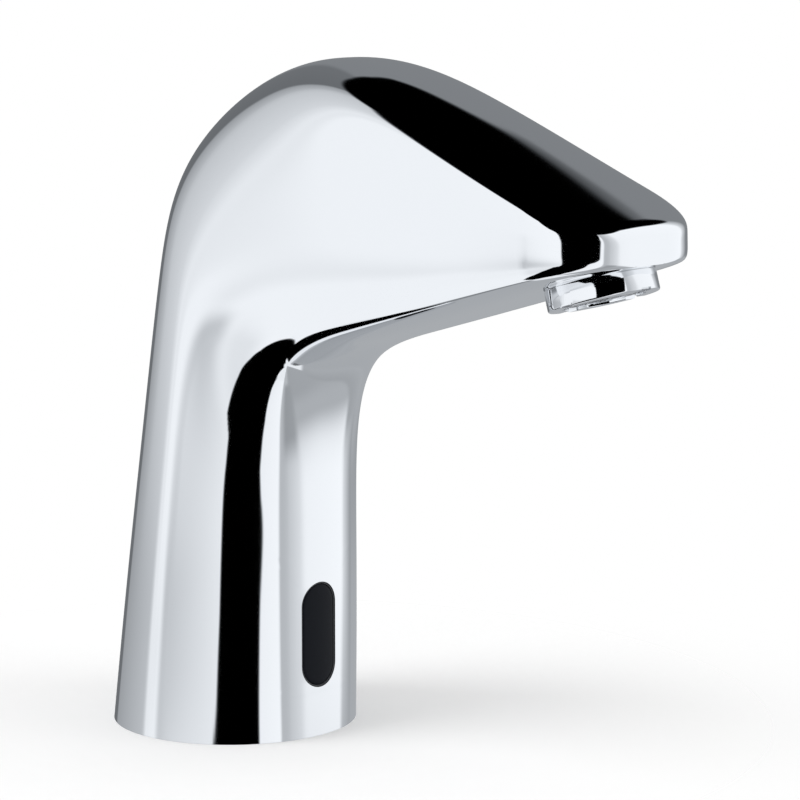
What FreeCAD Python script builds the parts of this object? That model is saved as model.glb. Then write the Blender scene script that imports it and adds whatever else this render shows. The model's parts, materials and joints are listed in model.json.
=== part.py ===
"""Deck-mounted sensor tap with its own battery, solenoid valve and aerator.

Millimetres. +Z is up, +X is the way the spout points, and the origin is the centre of
the round foot, on the deck. Every size is a cell of the sheet "sizes"; the pieces are
bound to those cells, or read them where their shape is worked out in code.
"""

import FreeCAD
import Part

import math
import os
import re

import Sketcher
from FreeCAD import Placement, Rotation, Vector

# ---------------------------------------------------------------- sizes
SIZES = [
    # cast body: foot, column, head
    ("foot_radius", 28.5, "round foot of the column"),
    ("back_foot", 28.5, "where the line of the column's back meets the deck"),
    ("back_lean", 8.67, "lean of the column's back, degrees from upright"),
    ("back_low", 32.0, "first station up the back"),
    ("back_mid", 75.0, "second station up the back"),
    ("back_high", 118.0, "third station up the back"),
    ("nape_x", -2.1, "start of the crown, from the foot's centre"),
    ("nape_z", 138.8, "height of that point"),
    ("crown_x", 35.0, "control point over the crown"),
    ("crown_z", 160.8, "height of that point"),
    ("top_fall", 25.0, "fall of the head's top towards the tip, degrees"),
    ("top_near", 69.5, "first station of the sloping top"),
    ("top_far", 97.5, "second station of the sloping top"),
    ("tip_reach", 124.7, "front face of the spout, from the foot's centre"),
    ("tip_top", 123.9, "top of the front face"),
    ("tip_bottom", 116.05, "bottom of the front face"),
    ("spout_rise", 16.84, "rise of the underside towards the tip, degrees"),
    ("front_low", 22.0, "first station up the column's front"),
    ("front_mid", 46.0, "second station up the column's front"),
    ("throat_low", 67.1, "column end of the throat under the spout"),
    ("throat_in", 31.9, "throat end of the straight underside"),
    ("under_near", 56.9, "first station of the underside"),
    ("under_mid", 72.0, "second station of the underside"),
    ("under_far", 100.0, "third station of the underside"),
    ("taper_low", 0.45, "how much narrower the first station is than the foot"),
    ("taper_mid", 2.3, "how much narrower the second station is than the foot"),
    ("girth_high", 24.9, "half width at the third station"),
    ("girth_nape", 24.3, "half width at the nape"),
    ("girth_crown", 24.1, "half width at the crown"),
    ("girth_near", 23.75, "half width at the first spout station"),
    ("girth_far", 23.0, "half width at the second spout station"),
    ("girth_tip", 21.95, "half width of the spout at its tip"),
    ("tip_corner", 15.5, "corner of the tip, seen from above"),
    ("tip_edge", 2.5, "rounding of the tip's upper edge"),
    ("wall", 3.0, "wall of the casting"),
    ("hollow_end", 0.9, "where the hollow stops, as a share of the way to the tip"),
    # foot
    ("foot_rim", 2.6, "rim of the foot round the base plate"),
    ("plate_play", 0.2, "clearance of the base plate in the foot"),
    ("seal_thick", 1.6, "deck seal"),
    ("seal_width", 2.7, "deck seal, from its outside in"),
    ("plate_thick", 7.0, "base plate"),
    ("stud_web", 3.0, "metal between the stud's hole and the valve's spigot"),
    ("stud_hole", 3.4, "M8 thread, minor radius"),
    ("lug_inset", 4.6, "lugs' axes inside the foot's recess"),
    ("lug_radius", 3.6, "lug in the casting"),
    ("lug_root", 1.2, "reach of a lug into the wall behind it"),
    ("lug_height", 11.0, "lug in the casting"),
    ("lug_depth", 9.0, "tapped depth in a lug"),
    ("screw_hole", 2.0, "M4 tapped hole"),
    ("screw_radius", 1.95, "M4 screw"),
    ("screw_grip", 7.5, "screw's length past the plate"),
    ("head_radius", 3.4, "M4 cap head"),
    ("head_height", 4.0, "M4 cap head"),
    ("head_recess", 3.6, "counterbore for a cap head"),
    ("hex_radius", 1.7, "socket of a cap head, across its corners"),
    ("hex_depth", 2.0, "socket of a cap head"),
    ("gap", 0.1, "assembly clearance on a radius"),
    # window and sensor
    ("window_half", 6.0, "half width of the window's opening"),
    ("gasket_lip", 0.5, "lip of the gasket round the lens"),
    ("seat_cover", 2.9, "metal before the flat seat behind the opening"),
    ("seat_step", 1.0, "reach of that seat past the lens's flange"),
    ("gasket_thick", 0.6, "gasket between seat and lens"),
    ("flange_thick", 0.8, "flange round the lens"),
    ("flange_step", 1.2, "reach of the flange past the opening"),
    ("housing_depth", 8.2, "sensor housing, front to back"),
    ("housing_height", 28.2, "sensor housing"),
    ("housing_wall", 1.0, "sensor housing"),
    ("cover_thick", 0.8, "back cover of the sensor"),
    ("board_thick", 1.2, "circuit board"),
    ("board_step", 2.4, "posts that carry the circuit board"),
    ("diode_radius", 2.5, "infrared diode"),
    ("diode_spread", 6.3, "diode's place above and below the middle"),
    ("led_radius", 1.5, "status light"),
    ("bracket_thick", 1.0, "sensor bracket"),
    ("bracket_half", 6.5, "half width of the sensor bracket"),
    ("bracket_over", 6.3, "reach of the bracket's upright over the window's middle"),
    ("bracket_foot", 8.8, "foot of the sensor bracket"),
    ("post_y", 4.5, "sensor posts, from the middle"),
    ("post_radius", 1.9, "sensor post"),
    ("small_hole", 1.0, "M2 tapped hole"),
    ("small_radius", 0.95, "M2 screw"),
    ("small_head", 1.5, "M2 screw head"),
    ("small_head_height", 1.1, "M2 screw head"),
    ("foot_screw_y", 3.2, "bracket screws, from the middle"),
    ("foot_screw_in", 5.3, "bracket screws, from the bracket's back"),
    ("foot_screw_hole", 1.5, "M3 tapped hole in the bracket's foot"),
    ("foot_screw_radius", 1.45, "M3 screw"),
    ("foot_head_radius", 2.7, "M3 screw head"),
    ("foot_head_height", 2.2, "M3 screw head"),
    # valve
    ("valve_room", 2.0, "room between the valve and the sensor bracket"),
    ("valve_radius", 11.2, "valve body"),
    ("spigot_radius", 8.6, "valve's spigot through the base plate"),
    ("spigot_rise", 0.4, "spigot's end above the deck"),
    ("clip_groove", 8.1, "groove for the retaining clip"),
    ("clip_radius", 10.8, "retaining clip"),
    ("clip_thick", 1.0, "retaining clip"),
    ("clip_slot", 5.0, "mouth of the retaining clip"),
    ("chamber_radius", 6.6, "inlet chamber"),
    ("chamber_neck", 5.6, "neck above the inlet chamber"),
    ("neck_height", 8.2, "neck above the inlet chamber"),
    ("way_cover", 1.5, "metal between the moat and the outlet way"),
    ("riser_ring", 5.6, "circle of the three risers"),
    ("riser_radius", 1.35, "riser to the diaphragm"),
    ("moat_radius", 7.0, "moat round the valve seat"),
    ("moat_depth", 3.0, "moat round the valve seat"),
    ("seat_radius", 4.2, "outside of the valve seat"),
    ("seat_bore", 2.8, "outlet bore in the valve seat"),
    ("way_radius", 2.5, "outlet way to the pipe"),
    ("bridge_radius", 4.0, "arm that carries the outlet way"),
    ("adaptor_height", 8.0, "inlet adaptor"),
    ("inlet_radius", 4.5, "M10 thread of the inlet, minor radius"),
    ("mesh_height", 3.0, "inlet filter's cup"),
    ("mesh_radius", 4.6, "inlet filter's cup"),
    ("rim_thick", 1.0, "inlet filter's rim"),
    ("mesh_wall", 0.6, "inlet filter's cup"),
    # check valve
    ("skirt_height", 3.4, "skirt under the check valve"),
    ("skirt_bore", 4.9, "skirt under the check valve"),
    ("check_floor", 1.6, "floor of the check valve"),
    ("check_port", 3.0, "port through that floor"),
    ("check_bore", 5.0, "bore of the check valve"),
    ("poppet_radius", 4.0, "check valve's poppet"),
    ("poppet_thick", 1.4, "check valve's poppet"),
    ("spring_solid", 2.2, "room that the check valve's spring keeps"),
    ("stem_radius", 1.2, "poppet's stem"),
    ("stem_play", 0.05, "stem's running clearance"),
    ("stem_reach", 0.4, "stem past its guide"),
    ("poppet_travel", 2.4, "poppet's travel"),
    ("guide_thick", 1.4, "poppet's guide"),
    ("guide_port", 1.2, "port through the guide"),
    ("guide_ring", 3.3, "circle of the guide's ports"),
    ("ring_section", 0.7, "groove of the check valve's seal ring"),
    # pilot stage
    ("diaphragm_radius", 8.0, "rubber diaphragm"),
    ("diaphragm_thick", 1.2, "rubber diaphragm"),
    ("insert_radius", 3.6, "stiffener of the diaphragm"),
    ("insert_thick", 1.2, "stiffener of the diaphragm"),
    ("insert_stem", 1.4, "stem through the diaphragm"),
    ("insert_tail", 1.0, "stem past the diaphragm"),
    ("bleed_radius", 0.5, "bleed hole through the stiffener"),
    ("diaphragm_travel", 1.5, "lift of the diaphragm"),
    ("lid_height", 8.0, "valve cover"),
    ("pilot_radius", 6.9, "pilot chamber"),
    ("pilot_hole", 0.8, "pilot hole under the plunger"),
    ("pilot_floor", 1.6, "metal round the pilot hole"),
    ("lid_screw_ring", 9.5, "circle of the cover screws"),
    ("lid_screw_grip", 7.0, "cover screw's length in the valve"),
    # solenoid
    ("tube_radius", 4.9, "core tube, outside"),
    ("tube_bore", 4.2, "core tube, inside"),
    ("plunger_play", 0.05, "plunger's running clearance"),
    ("plunger_length", 9.0, "plunger"),
    ("plunger_travel", 1.4, "plunger's travel"),
    ("core_gap", 0.2, "left between plunger and core at full travel"),
    ("tip_radius", 1.6, "rubber tip of the plunger"),
    ("tip_length", 1.2, "rubber tip of the plunger"),
    ("tip_proud", 0.3, "rubber tip below the plunger"),
    ("pocket_radius", 2.1, "spring pocket in plunger and core"),
    ("plunger_pocket", 5.0, "spring pocket in the plunger"),
    ("core_pocket", 2.0, "spring pocket in the core"),
    ("yoke_thick", 1.2, "solenoid's frame"),
    ("yoke_half", 12.0, "half width of the frame"),
    ("yoke_depth", 8.0, "half depth of the frame"),
    ("bobbin_height", 14.0, "coil former"),
    ("bobbin_wall", 0.8, "coil former"),
    ("bobbin_radius", 10.2, "coil former's flanges"),
    ("coil_radius", 9.6, "copper winding"),
    ("core_stud", 2.5, "threaded end of the core"),
    ("nut_height", 2.4, "nut on the core"),
    ("nut_radius", 4.6, "nut on the core, across its corners"),
    # battery
    ("tray_thick", 1.0, "battery bracket"),
    ("tray_half", 17.0, "half width of the battery bracket"),
    ("tray_back", 6.0, "reach of the battery bracket behind the valve's axis"),
    ("tray_front", 10.0, "reach of the battery bracket before that axis"),
    ("foot_height", 2.8, "feet of the battery holder"),
    ("foot_post", 2.5, "feet of the battery holder"),
    ("foot_y", 14.3, "those feet, from the middle"),
    ("cell_y", 8.9, "cells' axes, from the middle"),
    ("cell_radius", 8.5, "lithium cell, 17 mm across"),
    ("cell_length", 34.5, "lithium cell"),
    ("cell_run", 11.7, "cells' axes behind the pipe"),
    ("cell_play", 0.15, "cell in its tube"),
    ("holder_wall", 0.9, "battery holder"),
    ("cap_thick", 1.5, "battery cap"),
    ("contact_thick", 0.4, "contact strips"),
    ("contact_radius", 4.0, "contact pads"),
    ("link_half", 1.5, "half width of the strip that joins the cells"),
    ("cap_post", 1.6, "posts for the cap screws"),
    ("cap_post_x", 5.6, "those posts, before and behind the cells' axes"),
    ("cap_screw_grip", 7.0, "cap screw's length in its post"),
    # outlet pipe
    ("pipe_radius", 4.0, "outlet pipe, 8 mm across"),
    ("pipe_bore", 3.0, "outlet pipe, inside"),
    ("pipe_bend", 22.0, "bend of the pipe"),
    ("boss_radius", 6.2, "boss that takes the pipe"),
    ("boss_height", 12.0, "boss that takes the pipe"),
    ("boss_floor", 1.6, "metal under the outlet way in the boss"),
    ("boss_gap", 0.3, "room between the sensor and the boss over it"),
    ("boss_room", 0.7, "room between the boss and the casting"),
    ("socket_depth", 5.3, "pipe's depth in the boss"),
    ("seal_radius", 5.1, "room for the pipe's seal"),
    ("seal_depth", 4.0, "room for the pipe's seal"),
    ("pipe_seal_height", 2.0, "pipe's seal"),
    ("nut_flange", 6.0, "pipe nut"),
    ("nut_flange_height", 4.0, "pipe nut"),
    ("nose_socket", 6.0, "pipe's depth in the nose"),
    # spout nose and aerator
    ("aerator_x", 111.2, "aerator's centre on the underside"),
    ("aerator_rim", 11.9, "aerator's rim"),
    ("rim_height", 4.6, "aerator's rim below the underside"),
    ("rim_edge", 0.4, "chamfer of that rim"),
    ("thread_radius", 11.4, "aerator's thread"),
    ("thread_length", 7.0, "aerator's thread"),
    ("nose_bore", 8.2, "depth of the aerator's hole"),
    ("mix_radius", 7.0, "chamber above the aerator"),
    ("mix_height", 3.5, "chamber above the aerator"),
    ("washer_bore", 8.4, "aerator's washer"),
    ("aerator_bore", 9.6, "aerator's housing, inside"),
    ("lip_bore", 8.8, "aerator's outlet"),
    ("lip_height", 1.2, "aerator's outlet"),
    ("key_width", 3.0, "key slots of the aerator's rim"),
    ("key_depth", 0.6, "key slots of the aerator's rim"),
    ("screen_thick", 1.2, "outlet screen"),
    ("screen_hole", 0.75, "holes of the outlet screen"),
    ("screen_pitch", 2.3, "spacing of those holes"),
    ("insert_height", 4.4, "jet former of the aerator"),
    ("insert_plate", 1.6, "plate of the jet former"),
    ("insert_wall", 1.0, "wall of the jet former"),
    ("jet_radius", 0.6, "holes of the jet former"),
    ("jet_ring", 6.6, "circle of those holes"),
    ("limiter_height", 1.8, "flow limiter"),
    ("limiter_bore", 2.2, "flow limiter"),
    ("strainer_height", 2.4, "strainer over the aerator"),
    ("strainer_rim", 2.2, "rim of the strainer"),
    ("strainer_wall", 0.6, "strainer over the aerator"),
    # leads
    ("lead_radius", 0.8, "inner leads"),
    ("lead_y", 5.6, "leads, from the middle"),
    ("lead_run", 2.0, "leads' upright run behind the sensor bracket"),
    ("lead_rise", 9.3, "leads above the window's middle"),
    ("lead_bend", 2.4, "bend of a lead"),
    ("terminal_height", 4.0, "terminal block of the coil"),
    ("terminal_half", 1.8, "half width of the terminal block"),
]

# sizes that follow from those: what fits in, seats on or lines up with another piece
TIED = [
    ("foot_recess", "foot_radius - foot_rim", "recess that takes the base plate"),
    ("plate_radius", "foot_recess - plate_play", "base plate"),
    ("seal_bore", "plate_radius - seal_width", "inside of the deck seal"),
    ("lug_ring", "foot_recess - lug_inset", "circle of the lugs for the base screws"),
    ("girth_low", "foot_radius - taper_low", "half width at the first station"),
    ("girth_mid", "foot_radius - taper_mid", "half width at the second station"),
    (
        "window_z",
        "seal_thick + plate_thick + bracket_thick + housing_height / 2",
        "middle of the window above the deck",
    ),
    ("window_height", "housing_height / 2 - flange_step", "half height of the window's opening"),
    ("seat_x", "foot_radius - seat_cover", "flat seat behind the opening"),
    ("seat_half", "window_half + flange_step + seat_step", "half width of the flat seat"),
    ("seat_height", "window_height + flange_step + seat_step", "half height of the flat seat"),
    ("housing_half", "window_half + flange_step + gap", "sensor housing, half width"),
    (
        "bracket_back",
        "seat_x - gasket_thick - flange_thick - housing_depth - cover_thick - bracket_thick",
        "back of the sensor bracket, from the foot's centre",
    ),
    ("bracket_height", "bracket_thick + housing_height / 2 + bracket_over", "upright of the sensor bracket"),
    ("foot_screw_x", "bracket_back + foot_screw_in", "bracket screws, from the foot's centre"),
    ("valve_x", "bracket_back - valve_room - valve_radius", "valve's axis, from the foot's centre"),
    (
        "stud_x",
        "valve_x - spigot_radius - stud_web - stud_hole",
        "fixing stud's hole, from the foot's centre",
    ),
    (
        "valve_height",
        "housing_height + bracket_thick + boss_gap + boss_floor + 2 * way_radius + way_cover + moat_depth",
        "valve body above the base plate",
    ),
    ("check_rise", "poppet_thick + poppet_travel + spring_solid", "height of that bore"),
    (
        "web_height",
        "seal_thick + plate_thick + valve_height - moat_depth - way_cover - way_radius - spigot_rise"
        " - adaptor_height - rim_thick - skirt_height - check_floor - check_rise - guide_thick - neck_height",
        "metal between the inlet and outlet ways",
    ),
    ("pilot_height", "insert_thick + diaphragm_travel + gap", "pilot chamber"),
    ("pipe_x", "foot_radius - wall - boss_room - boss_radius", "pipe's upright run, from the foot's centre"),
    ("cell_x", "pipe_x - cell_run", "cells' axes, from the foot's centre"),
    ("lead_x", "bracket_back - lead_run", "leads' upright run, from the foot's centre"),
    ("lead_z", "window_z + lead_rise", "where the leads leave the sensor"),
]

LUG_ANGLES = (65, 125, 235, 295)
RISER_ANGLES = (60, 180, 300)
LID_SCREW_ANGLES = (45, 135, 225, 315)
GUIDE_ANGLES = (90, 210, 330)
JETS = 16
SCREEN_RINGS = 3
SECTION_POINTS = 64
BODY_STEPS = 22
HOLLOW_STEPS = 20
CORNER_ANGLES = (-12, 0, 15, 30, 42, 53, 63, 72, 80, 86)

GUESS_MIDDLE = 20
GUESS_SPREAD = 10


def worked_out(text, numbers):
    """The number that a text of names, numbers and the signs + - * / gives."""
    total = 0.0
    for sign, term in re.findall(r"([+-]?)([^+-]+)", text.replace(" ", "")):
        product = 1.0
        for mark, word in re.findall(r"([*/]?)([^*/]+)", term):
            number = numbers[word] if word in numbers else float(word)
            product = product / number if mark == "/" else product * number
        total += -product if sign == "-" else product
    return round(total, 6)


doc = FreeCAD.newDocument("sensor_tap")
sheet = doc.addObject("Spreadsheet::Sheet", "sizes")
numbers = {alias: number for alias, number, _ in SIZES}
for alias, text, _ in TIED:
    numbers[alias] = worked_out(text, numbers)
for row, (alias, _, note) in enumerate(SIZES + TIED, start=1):
    sheet.set(f"A{row}", alias)
    sheet.set(f"B{row}", str(numbers[alias]))
    sheet.setAlias(f"B{row}", alias)
    sheet.set(f"C{row}", note)
doc.recompute()

ALIASES = set(numbers)
WORD = re.compile(r"[a-z][a-z_]*")
NODES = []


def size(alias):
    """The number in one cell of the sheet."""
    return float(sheet.get(alias))


def value(text):
    """The sum that a text of cells, plus and minus signs gives."""
    total, sign = 0.0, 1
    for word in text.split():
        if word in "+-":
            sign = 1 if word == "+" else -1
        else:
            total += sign * (size(word) if word in ALIASES else float(word))
    return total


# heights and places that several pieces share, as expressions of the sheet's cells
PLATE_BOTTOM = "seal_thick"
PLATE_TOP = "seal_thick + plate_thick"
VALVE_TOP = PLATE_TOP + " + valve_height"
LID_TOP = VALVE_TOP + " + lid_height"
BOBBIN_BOTTOM = LID_TOP + " + yoke_thick"
BOBBIN_TOP = BOBBIN_BOTTOM + " + bobbin_height"
YOKE_TOP = BOBBIN_TOP + " + yoke_thick"
TRAY_TOP = YOKE_TOP + " + tray_thick"
HOLDER_BOTTOM = TRAY_TOP + " + foot_height"
CELL_BOTTOM = HOLDER_BOTTOM + " + holder_wall + contact_thick"
CELL_TOP = CELL_BOTTOM + " + cell_length"
WAY_Z = VALVE_TOP + " - moat_depth - way_cover - way_radius"
CHAMBER_TOP = WAY_Z + " - web_height"
SOCKET_TOP = WAY_Z + " - way_radius - boss_floor + boss_height"
HOUSING_FRONT = "seat_x - gasket_thick - flange_thick"
HOUSING_BACK = HOUSING_FRONT + " - housing_depth"
COVER_BACK = HOUSING_BACK + " - cover_thick"
BRACKET_BACK = COVER_BACK + " - bracket_thick"
HOUSING_BOTTOM = PLATE_TOP + " + bracket_thick"
HOUSING_TOP = HOUSING_BOTTOM + " + housing_height"


# ---------------------------------------------------------------- helpers
def bind(obj, prop, text):
    """Bind one property to an expression whose words are cells of the sheet."""
    obj.setExpression(prop, WORD.sub(cell, str(text)))


def cell(match):
    """The sheet's name for a word, if the word is one of its cells."""
    word = match.group()
    return "sizes." + word if word in ALIASES else word


def place(obj, x="0", y="0", z="0"):
    """Bind an object's place to expressions, keeping the way it is turned."""
    for axis, text in zip("xyz", (x, y, z)):
        bind(obj, "Placement.Base." + axis, text)
    return obj


def node(obj):
    """Mark an object as a piece of the tap; its Label names its file."""
    NODES.append(obj)
    return obj


def cylinder(label, radius, height, x="0", y="0", z="0", along="z"):
    """A Part cylinder from (x, y, z) along +Z or +X."""
    obj = doc.addObject("Part::Cylinder", label)
    bind(obj, "Radius", radius)
    bind(obj, "Height", height)
    if along == "x":
        obj.Placement = Placement(Vector(), Rotation(Vector(0, 1, 0), 90))
    return place(obj, x, y, z)


def block(label, low, high):
    """A Part box between two corners, each three expressions."""
    obj = doc.addObject("Part::Box", label)
    for prop, a, b in zip(("Length", "Width", "Height"), low, high):
        bind(obj, prop, f"({b}) - ({a})")
    return place(obj, *low)


def prism(label, radius, height, x="0", y="0", z="0", sides=6):
    """A Part prism with regular sides, for nuts and sockets."""
    obj = doc.addObject("Part::Prism", label)
    obj.Polygon = sides
    bind(obj, "Circumradius", radius)
    bind(obj, "Height", height)
    return place(obj, x, y, z)


def fuse(label, shapes):
    """The union of several objects."""
    obj = doc.addObject("Part::MultiFuse", label)
    obj.Shapes = shapes
    obj.Refine = False
    return obj


def cut(label, base, tools):
    """An object less one or more tools."""
    obj = doc.addObject("Part::Cut", label)
    obj.Base = base
    obj.Tool = tools[0] if len(tools) == 1 else fuse(label + "_tools", tools)
    obj.Refine = False
    return obj


def common(label, base, tool):
    """What two objects share."""
    obj = doc.addObject("Part::Common", label)
    obj.Base = base
    obj.Tool = tool
    obj.Refine = False
    return obj


def origin_plane(body, role):
    """A body's own origin plane."""
    return next(f for f in body.Origin.OriginFeatures if f.Role == role)


def turned(label, outline, x="0", y="0", z="0"):
    """A PartDesign body: an outline of (radius, height) expressions turned about its Z."""
    body = doc.addObject("PartDesign::Body", label)
    sketch = body.newObject("Sketcher::SketchObject", label + "_outline")
    sketch.AttachmentSupport = [(origin_plane(body, "XZ_Plane"), "")]
    sketch.MapMode = "FlatFace"
    count = len(outline)
    corners = [
        Vector(GUESS_MIDDLE + GUESS_SPREAD * math.cos(turn), GUESS_MIDDLE + GUESS_SPREAD * math.sin(turn), 0)
        for turn in (2 * math.pi * k / count for k in range(count))
    ]
    for k in range(count):
        sketch.addGeometry(Part.LineSegment(corners[k], corners[(k + 1) % count]), False)
    for k in range(count):
        sketch.addConstraint(Sketcher.Constraint("Coincident", k, 2, (k + 1) % count, 1))
    for k, (radius, height) in enumerate(outline):
        for kind, text, axis, guess in (
            ("DistanceX", radius, -2, corners[k].x),
            ("DistanceY", height, -1, corners[k].y),
        ):
            if text == "0":
                sketch.addConstraint(Sketcher.Constraint("PointOnObject", k, 1, axis))
                continue
            index = sketch.addConstraint(Sketcher.Constraint(kind, -1, 1, k, 1, guess))
            bind(sketch, f"Constraints[{index}]", text)
    turn = body.newObject("PartDesign::Revolution", label + "_turn")
    turn.Profile = sketch
    turn.ReferenceAxis = (sketch, ["V_Axis"])
    turn.Angle = 360
    body.Tip = turn
    return place(body, x, y, z)


def ring(label, inner, outer, bottom, top, x="0", y="0", z="0"):
    """A plain turned ring."""
    return turned(label, [(inner, bottom), (outer, bottom), (outer, top), (inner, top)], x, y, z)


def around(angle, radius, x="0"):
    """The x and y of a point on a circle about (x, 0)."""
    return f"{x} + ({radius}) * cos({angle})", f"({radius}) * sin({angle})"


def pillars(label, angles, circle, radius, height, z, x="0"):
    """Equal cylinders round a circle."""
    made = []
    for count, angle in enumerate(angles):
        px, py = around(angle, circle, x)
        made.append(cylinder(f"{label}_{count}", radius, height, px, py, z))
    return made


def obround(label, half_width, half_height, low_x, high_x):
    """An upright slot-shaped prism along X, centred on the window."""
    straight = f"({half_height}) - ({half_width})"
    length = f"({high_x}) - ({low_x})"
    parts = [
        block(
            label + "_mid",
            (low_x, f"-({half_width})", f"window_z - ({straight})"),
            (high_x, half_width, f"window_z + ({straight})"),
        ),
        cylinder(label + "_up", half_width, length, low_x, "0", f"window_z + ({straight})", "x"),
        cylinder(label + "_down", half_width, length, low_x, "0", f"window_z - ({straight})", "x"),
    ]
    return fuse(label, parts)


def solid(label, shape):
    """A Part feature whose shape is worked out in code."""
    obj = doc.addObject("Part::Feature", label)
    obj.Shape = shape
    return obj


def screw(label, radius, length, head_radius, head_height):
    """A cap screw standing on its head at the origin of its own frame."""
    outline = [
        ("0", "0"),
        (head_radius, "0"),
        (head_radius, head_height),
        (radius, head_height),
        (radius, f"({head_height}) + ({length})"),
        ("0", f"({head_height}) + ({length})"),
    ]
    return turned(label, outline)


# ---------------------------------------------------------------- cast body
def spline(points):
    """A clamped cubic curve over nine control points."""
    curve = Part.BSplineCurve()
    knots = [k / 6 for k in range(7)]
    curve.buildFromPolesMultsKnots([Vector(*p) for p in points], [4, 1, 1, 1, 1, 1, 4], knots, False, 3)
    return curve


def body_curves():
    """The back line, the front line and the girth (half width, front and back squareness)."""
    foot = size("foot_radius")
    lean = math.tan(math.radians(size("back_lean")))
    fall = math.tan(math.radians(size("top_fall")))
    rise = math.tan(math.radians(size("spout_rise")))
    reach = size("tip_reach")
    back = [(-foot, 0, 0)]
    heel = size("back_foot")
    back += [(-heel + size(a) * lean, 0, size(a)) for a in ("back_low", "back_mid", "back_high")]
    back += [(size("nape_x"), 0, size("nape_z")), (size("crown_x"), 0, size("crown_z"))]
    back += [(x, 0, size("tip_top") + (reach - x) * fall) for x in (size("top_near"), size("top_far"), reach)]
    front = [(foot, 0, z) for z in (0, size("front_low"), size("front_mid"), size("throat_low"))]
    stations = [size(a) for a in ("throat_in", "under_near", "under_mid", "under_far")]
    front += [(x, 0, size("tip_bottom") - (reach - x) * rise) for x in stations + [reach]]
    widths = [foot] + [size("girth_" + a) for a in ("low", "mid", "high", "nape", "crown", "near", "far", "tip")]
    front_square = (2, 2, 2, 2, 3.1, 4.4, 5.4, 6.1, 7)
    back_square = (2, 2, 2, 2, 2.25, 2.6, 2.75, 2.85, 3)
    girth = list(zip(widths, front_square, back_square))
    return spline(back), spline(front), spline(girth)


def corner_inset(x, radius):
    """How far a rounded corner of the tip has come in at x."""
    share = min(max((x - (size("tip_reach") - radius)) / radius, 0), 1)
    return radius * (1 - math.sqrt(1 - share * share))


def section(curves, share, wall):
    """One closed ring of the body: a superellipse between the back and front lines."""
    back, front, girth = (curve.value(share) for curve in curves)
    width = girth.x - wall
    if wall == 0:
        back = Vector(back.x, 0, back.z - corner_inset(back.x, size("tip_edge")))
        width -= corner_inset((back.x + front.x) / 2, size("tip_corner"))
    middle = (back + front) * 0.5
    across = back - front
    half = across.Length / 2 - wall
    across.normalize()
    points = []
    for k in range(SECTION_POINTS):
        turn = 2 * math.pi * k / SECTION_POINTS
        c, s = math.cos(turn), math.sin(turn)
        power = (girth.z + girth.y) / 2 + (girth.z - girth.y) / 2 * c
        r = (abs(c) ** power + abs(s) ** power) ** (-1 / power)
        points.append(middle + across * (r * c * half) + Vector(0, r * s * width, 0))
    return points


def share_at(curves, x):
    """Where the middle of the sections reaches x, in the head."""
    low, high = 0.5, 1.0
    for _ in range(50):
        middle = (low + high) / 2
        reached = (curves[0].value(middle).x + curves[1].value(middle).x) / 2
        low, high = (middle, high) if reached < x else (low, middle)
    return (low + high) / 2


def skinned(sections):
    """A closed solid through the sections, smooth along and around."""
    count = len(sections[0])
    rings = []
    for points in sections:
        curve = Part.BSplineCurve()
        steps = [k / count for k in range(count + 1)]
        curve.interpolate(Points=points, PeriodicFlag=True, Parameters=steps)
        rings.append(curve)
    poles = [curve.getPoles() for curve in rings]
    way = [0.0]
    for before, after in zip(poles, poles[1:]):
        way.append(way[-1] + sum((b - a).Length for a, b in zip(before, after)))
    way = [w / way[-1] for w in way]
    lines = []
    for k in range(len(poles[0])):
        line = Part.BSplineCurve()
        line.interpolate(Points=[row[k] for row in poles], Parameters=way)
        lines.append(line)
    columns = [line.getPoles() for line in lines]
    net = [[column[k] for column in columns] for k in range(len(columns[0]))]
    surface = Part.BSplineSurface()
    surface.buildFromPolesMultsKnots(
        net,
        lines[0].getMultiplicities(),
        rings[0].getMultiplicities(),
        lines[0].getKnots(),
        rings[0].getKnots(),
        False,
        True,
        3,
        3,
    )
    face = surface.toShape()
    ends = [Part.Face(Part.Wire(edge)) for edge in face.Edges if edge.isClosed()]
    shell = Part.Shell([face] + ends)
    shell.sewShape()
    body = Part.Solid(shell)
    if body.Volume < 0:
        body.reverse()
    return body


CURVES = body_curves()


def outer_form():
    """The outside of the casting."""
    reach, corner = size("tip_reach"), size("tip_corner")
    straight = share_at(CURVES, reach - 1.3 * corner)
    shares = [straight * k / BODY_STEPS for k in range(BODY_STEPS)]
    shares += [share_at(CURVES, reach - corner * (1 - math.sin(math.radians(a)))) for a in CORNER_ANGLES]
    return skinned([section(CURVES, share, 0) for share in shares + [1.0]])


def hollow_form():
    """The hollow of the casting, up to the solid nose."""
    last = size("hollow_end")
    shares = [last * k / HOLLOW_STEPS for k in range(HOLLOW_STEPS + 1)]
    return skinned([section(CURVES, share, size("wall")) for share in shares])


# the nose's own frame: origin in the middle of the aerator's hole, +Z up its axis
RISE = math.radians(size("spout_rise"))
NOSE_UP = Vector(-math.sin(RISE), 0, math.cos(RISE))
NOSE_OUT = Vector(math.cos(RISE), 0, math.sin(RISE))
MOUTH = Vector(
    size("aerator_x"),
    0,
    size("tip_bottom") - (size("tip_reach") - size("aerator_x")) * math.tan(RISE),
)
MIX = MOUTH + NOSE_UP * (size("nose_bore") + size("mix_height") / 2)
MOUTH_Z = "tip_bottom - (tip_reach - aerator_x) * tan(spout_rise)"


def in_nose(obj, lift="0"):
    """Tilt an object made along +Z to the aerator's axis and lift it along that axis."""
    obj.Placement = Placement(MOUTH, Rotation(Vector(0, -1, 0), size("spout_rise")))
    bind(obj, "Placement.Base.x", f"aerator_x - ({lift}) * sin(spout_rise)")
    bind(obj, "Placement.Base.z", f"{MOUTH_Z} + ({lift}) * cos(spout_rise)")
    bind(obj, "Placement.Rotation.Angle", "spout_rise")
    return obj


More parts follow.
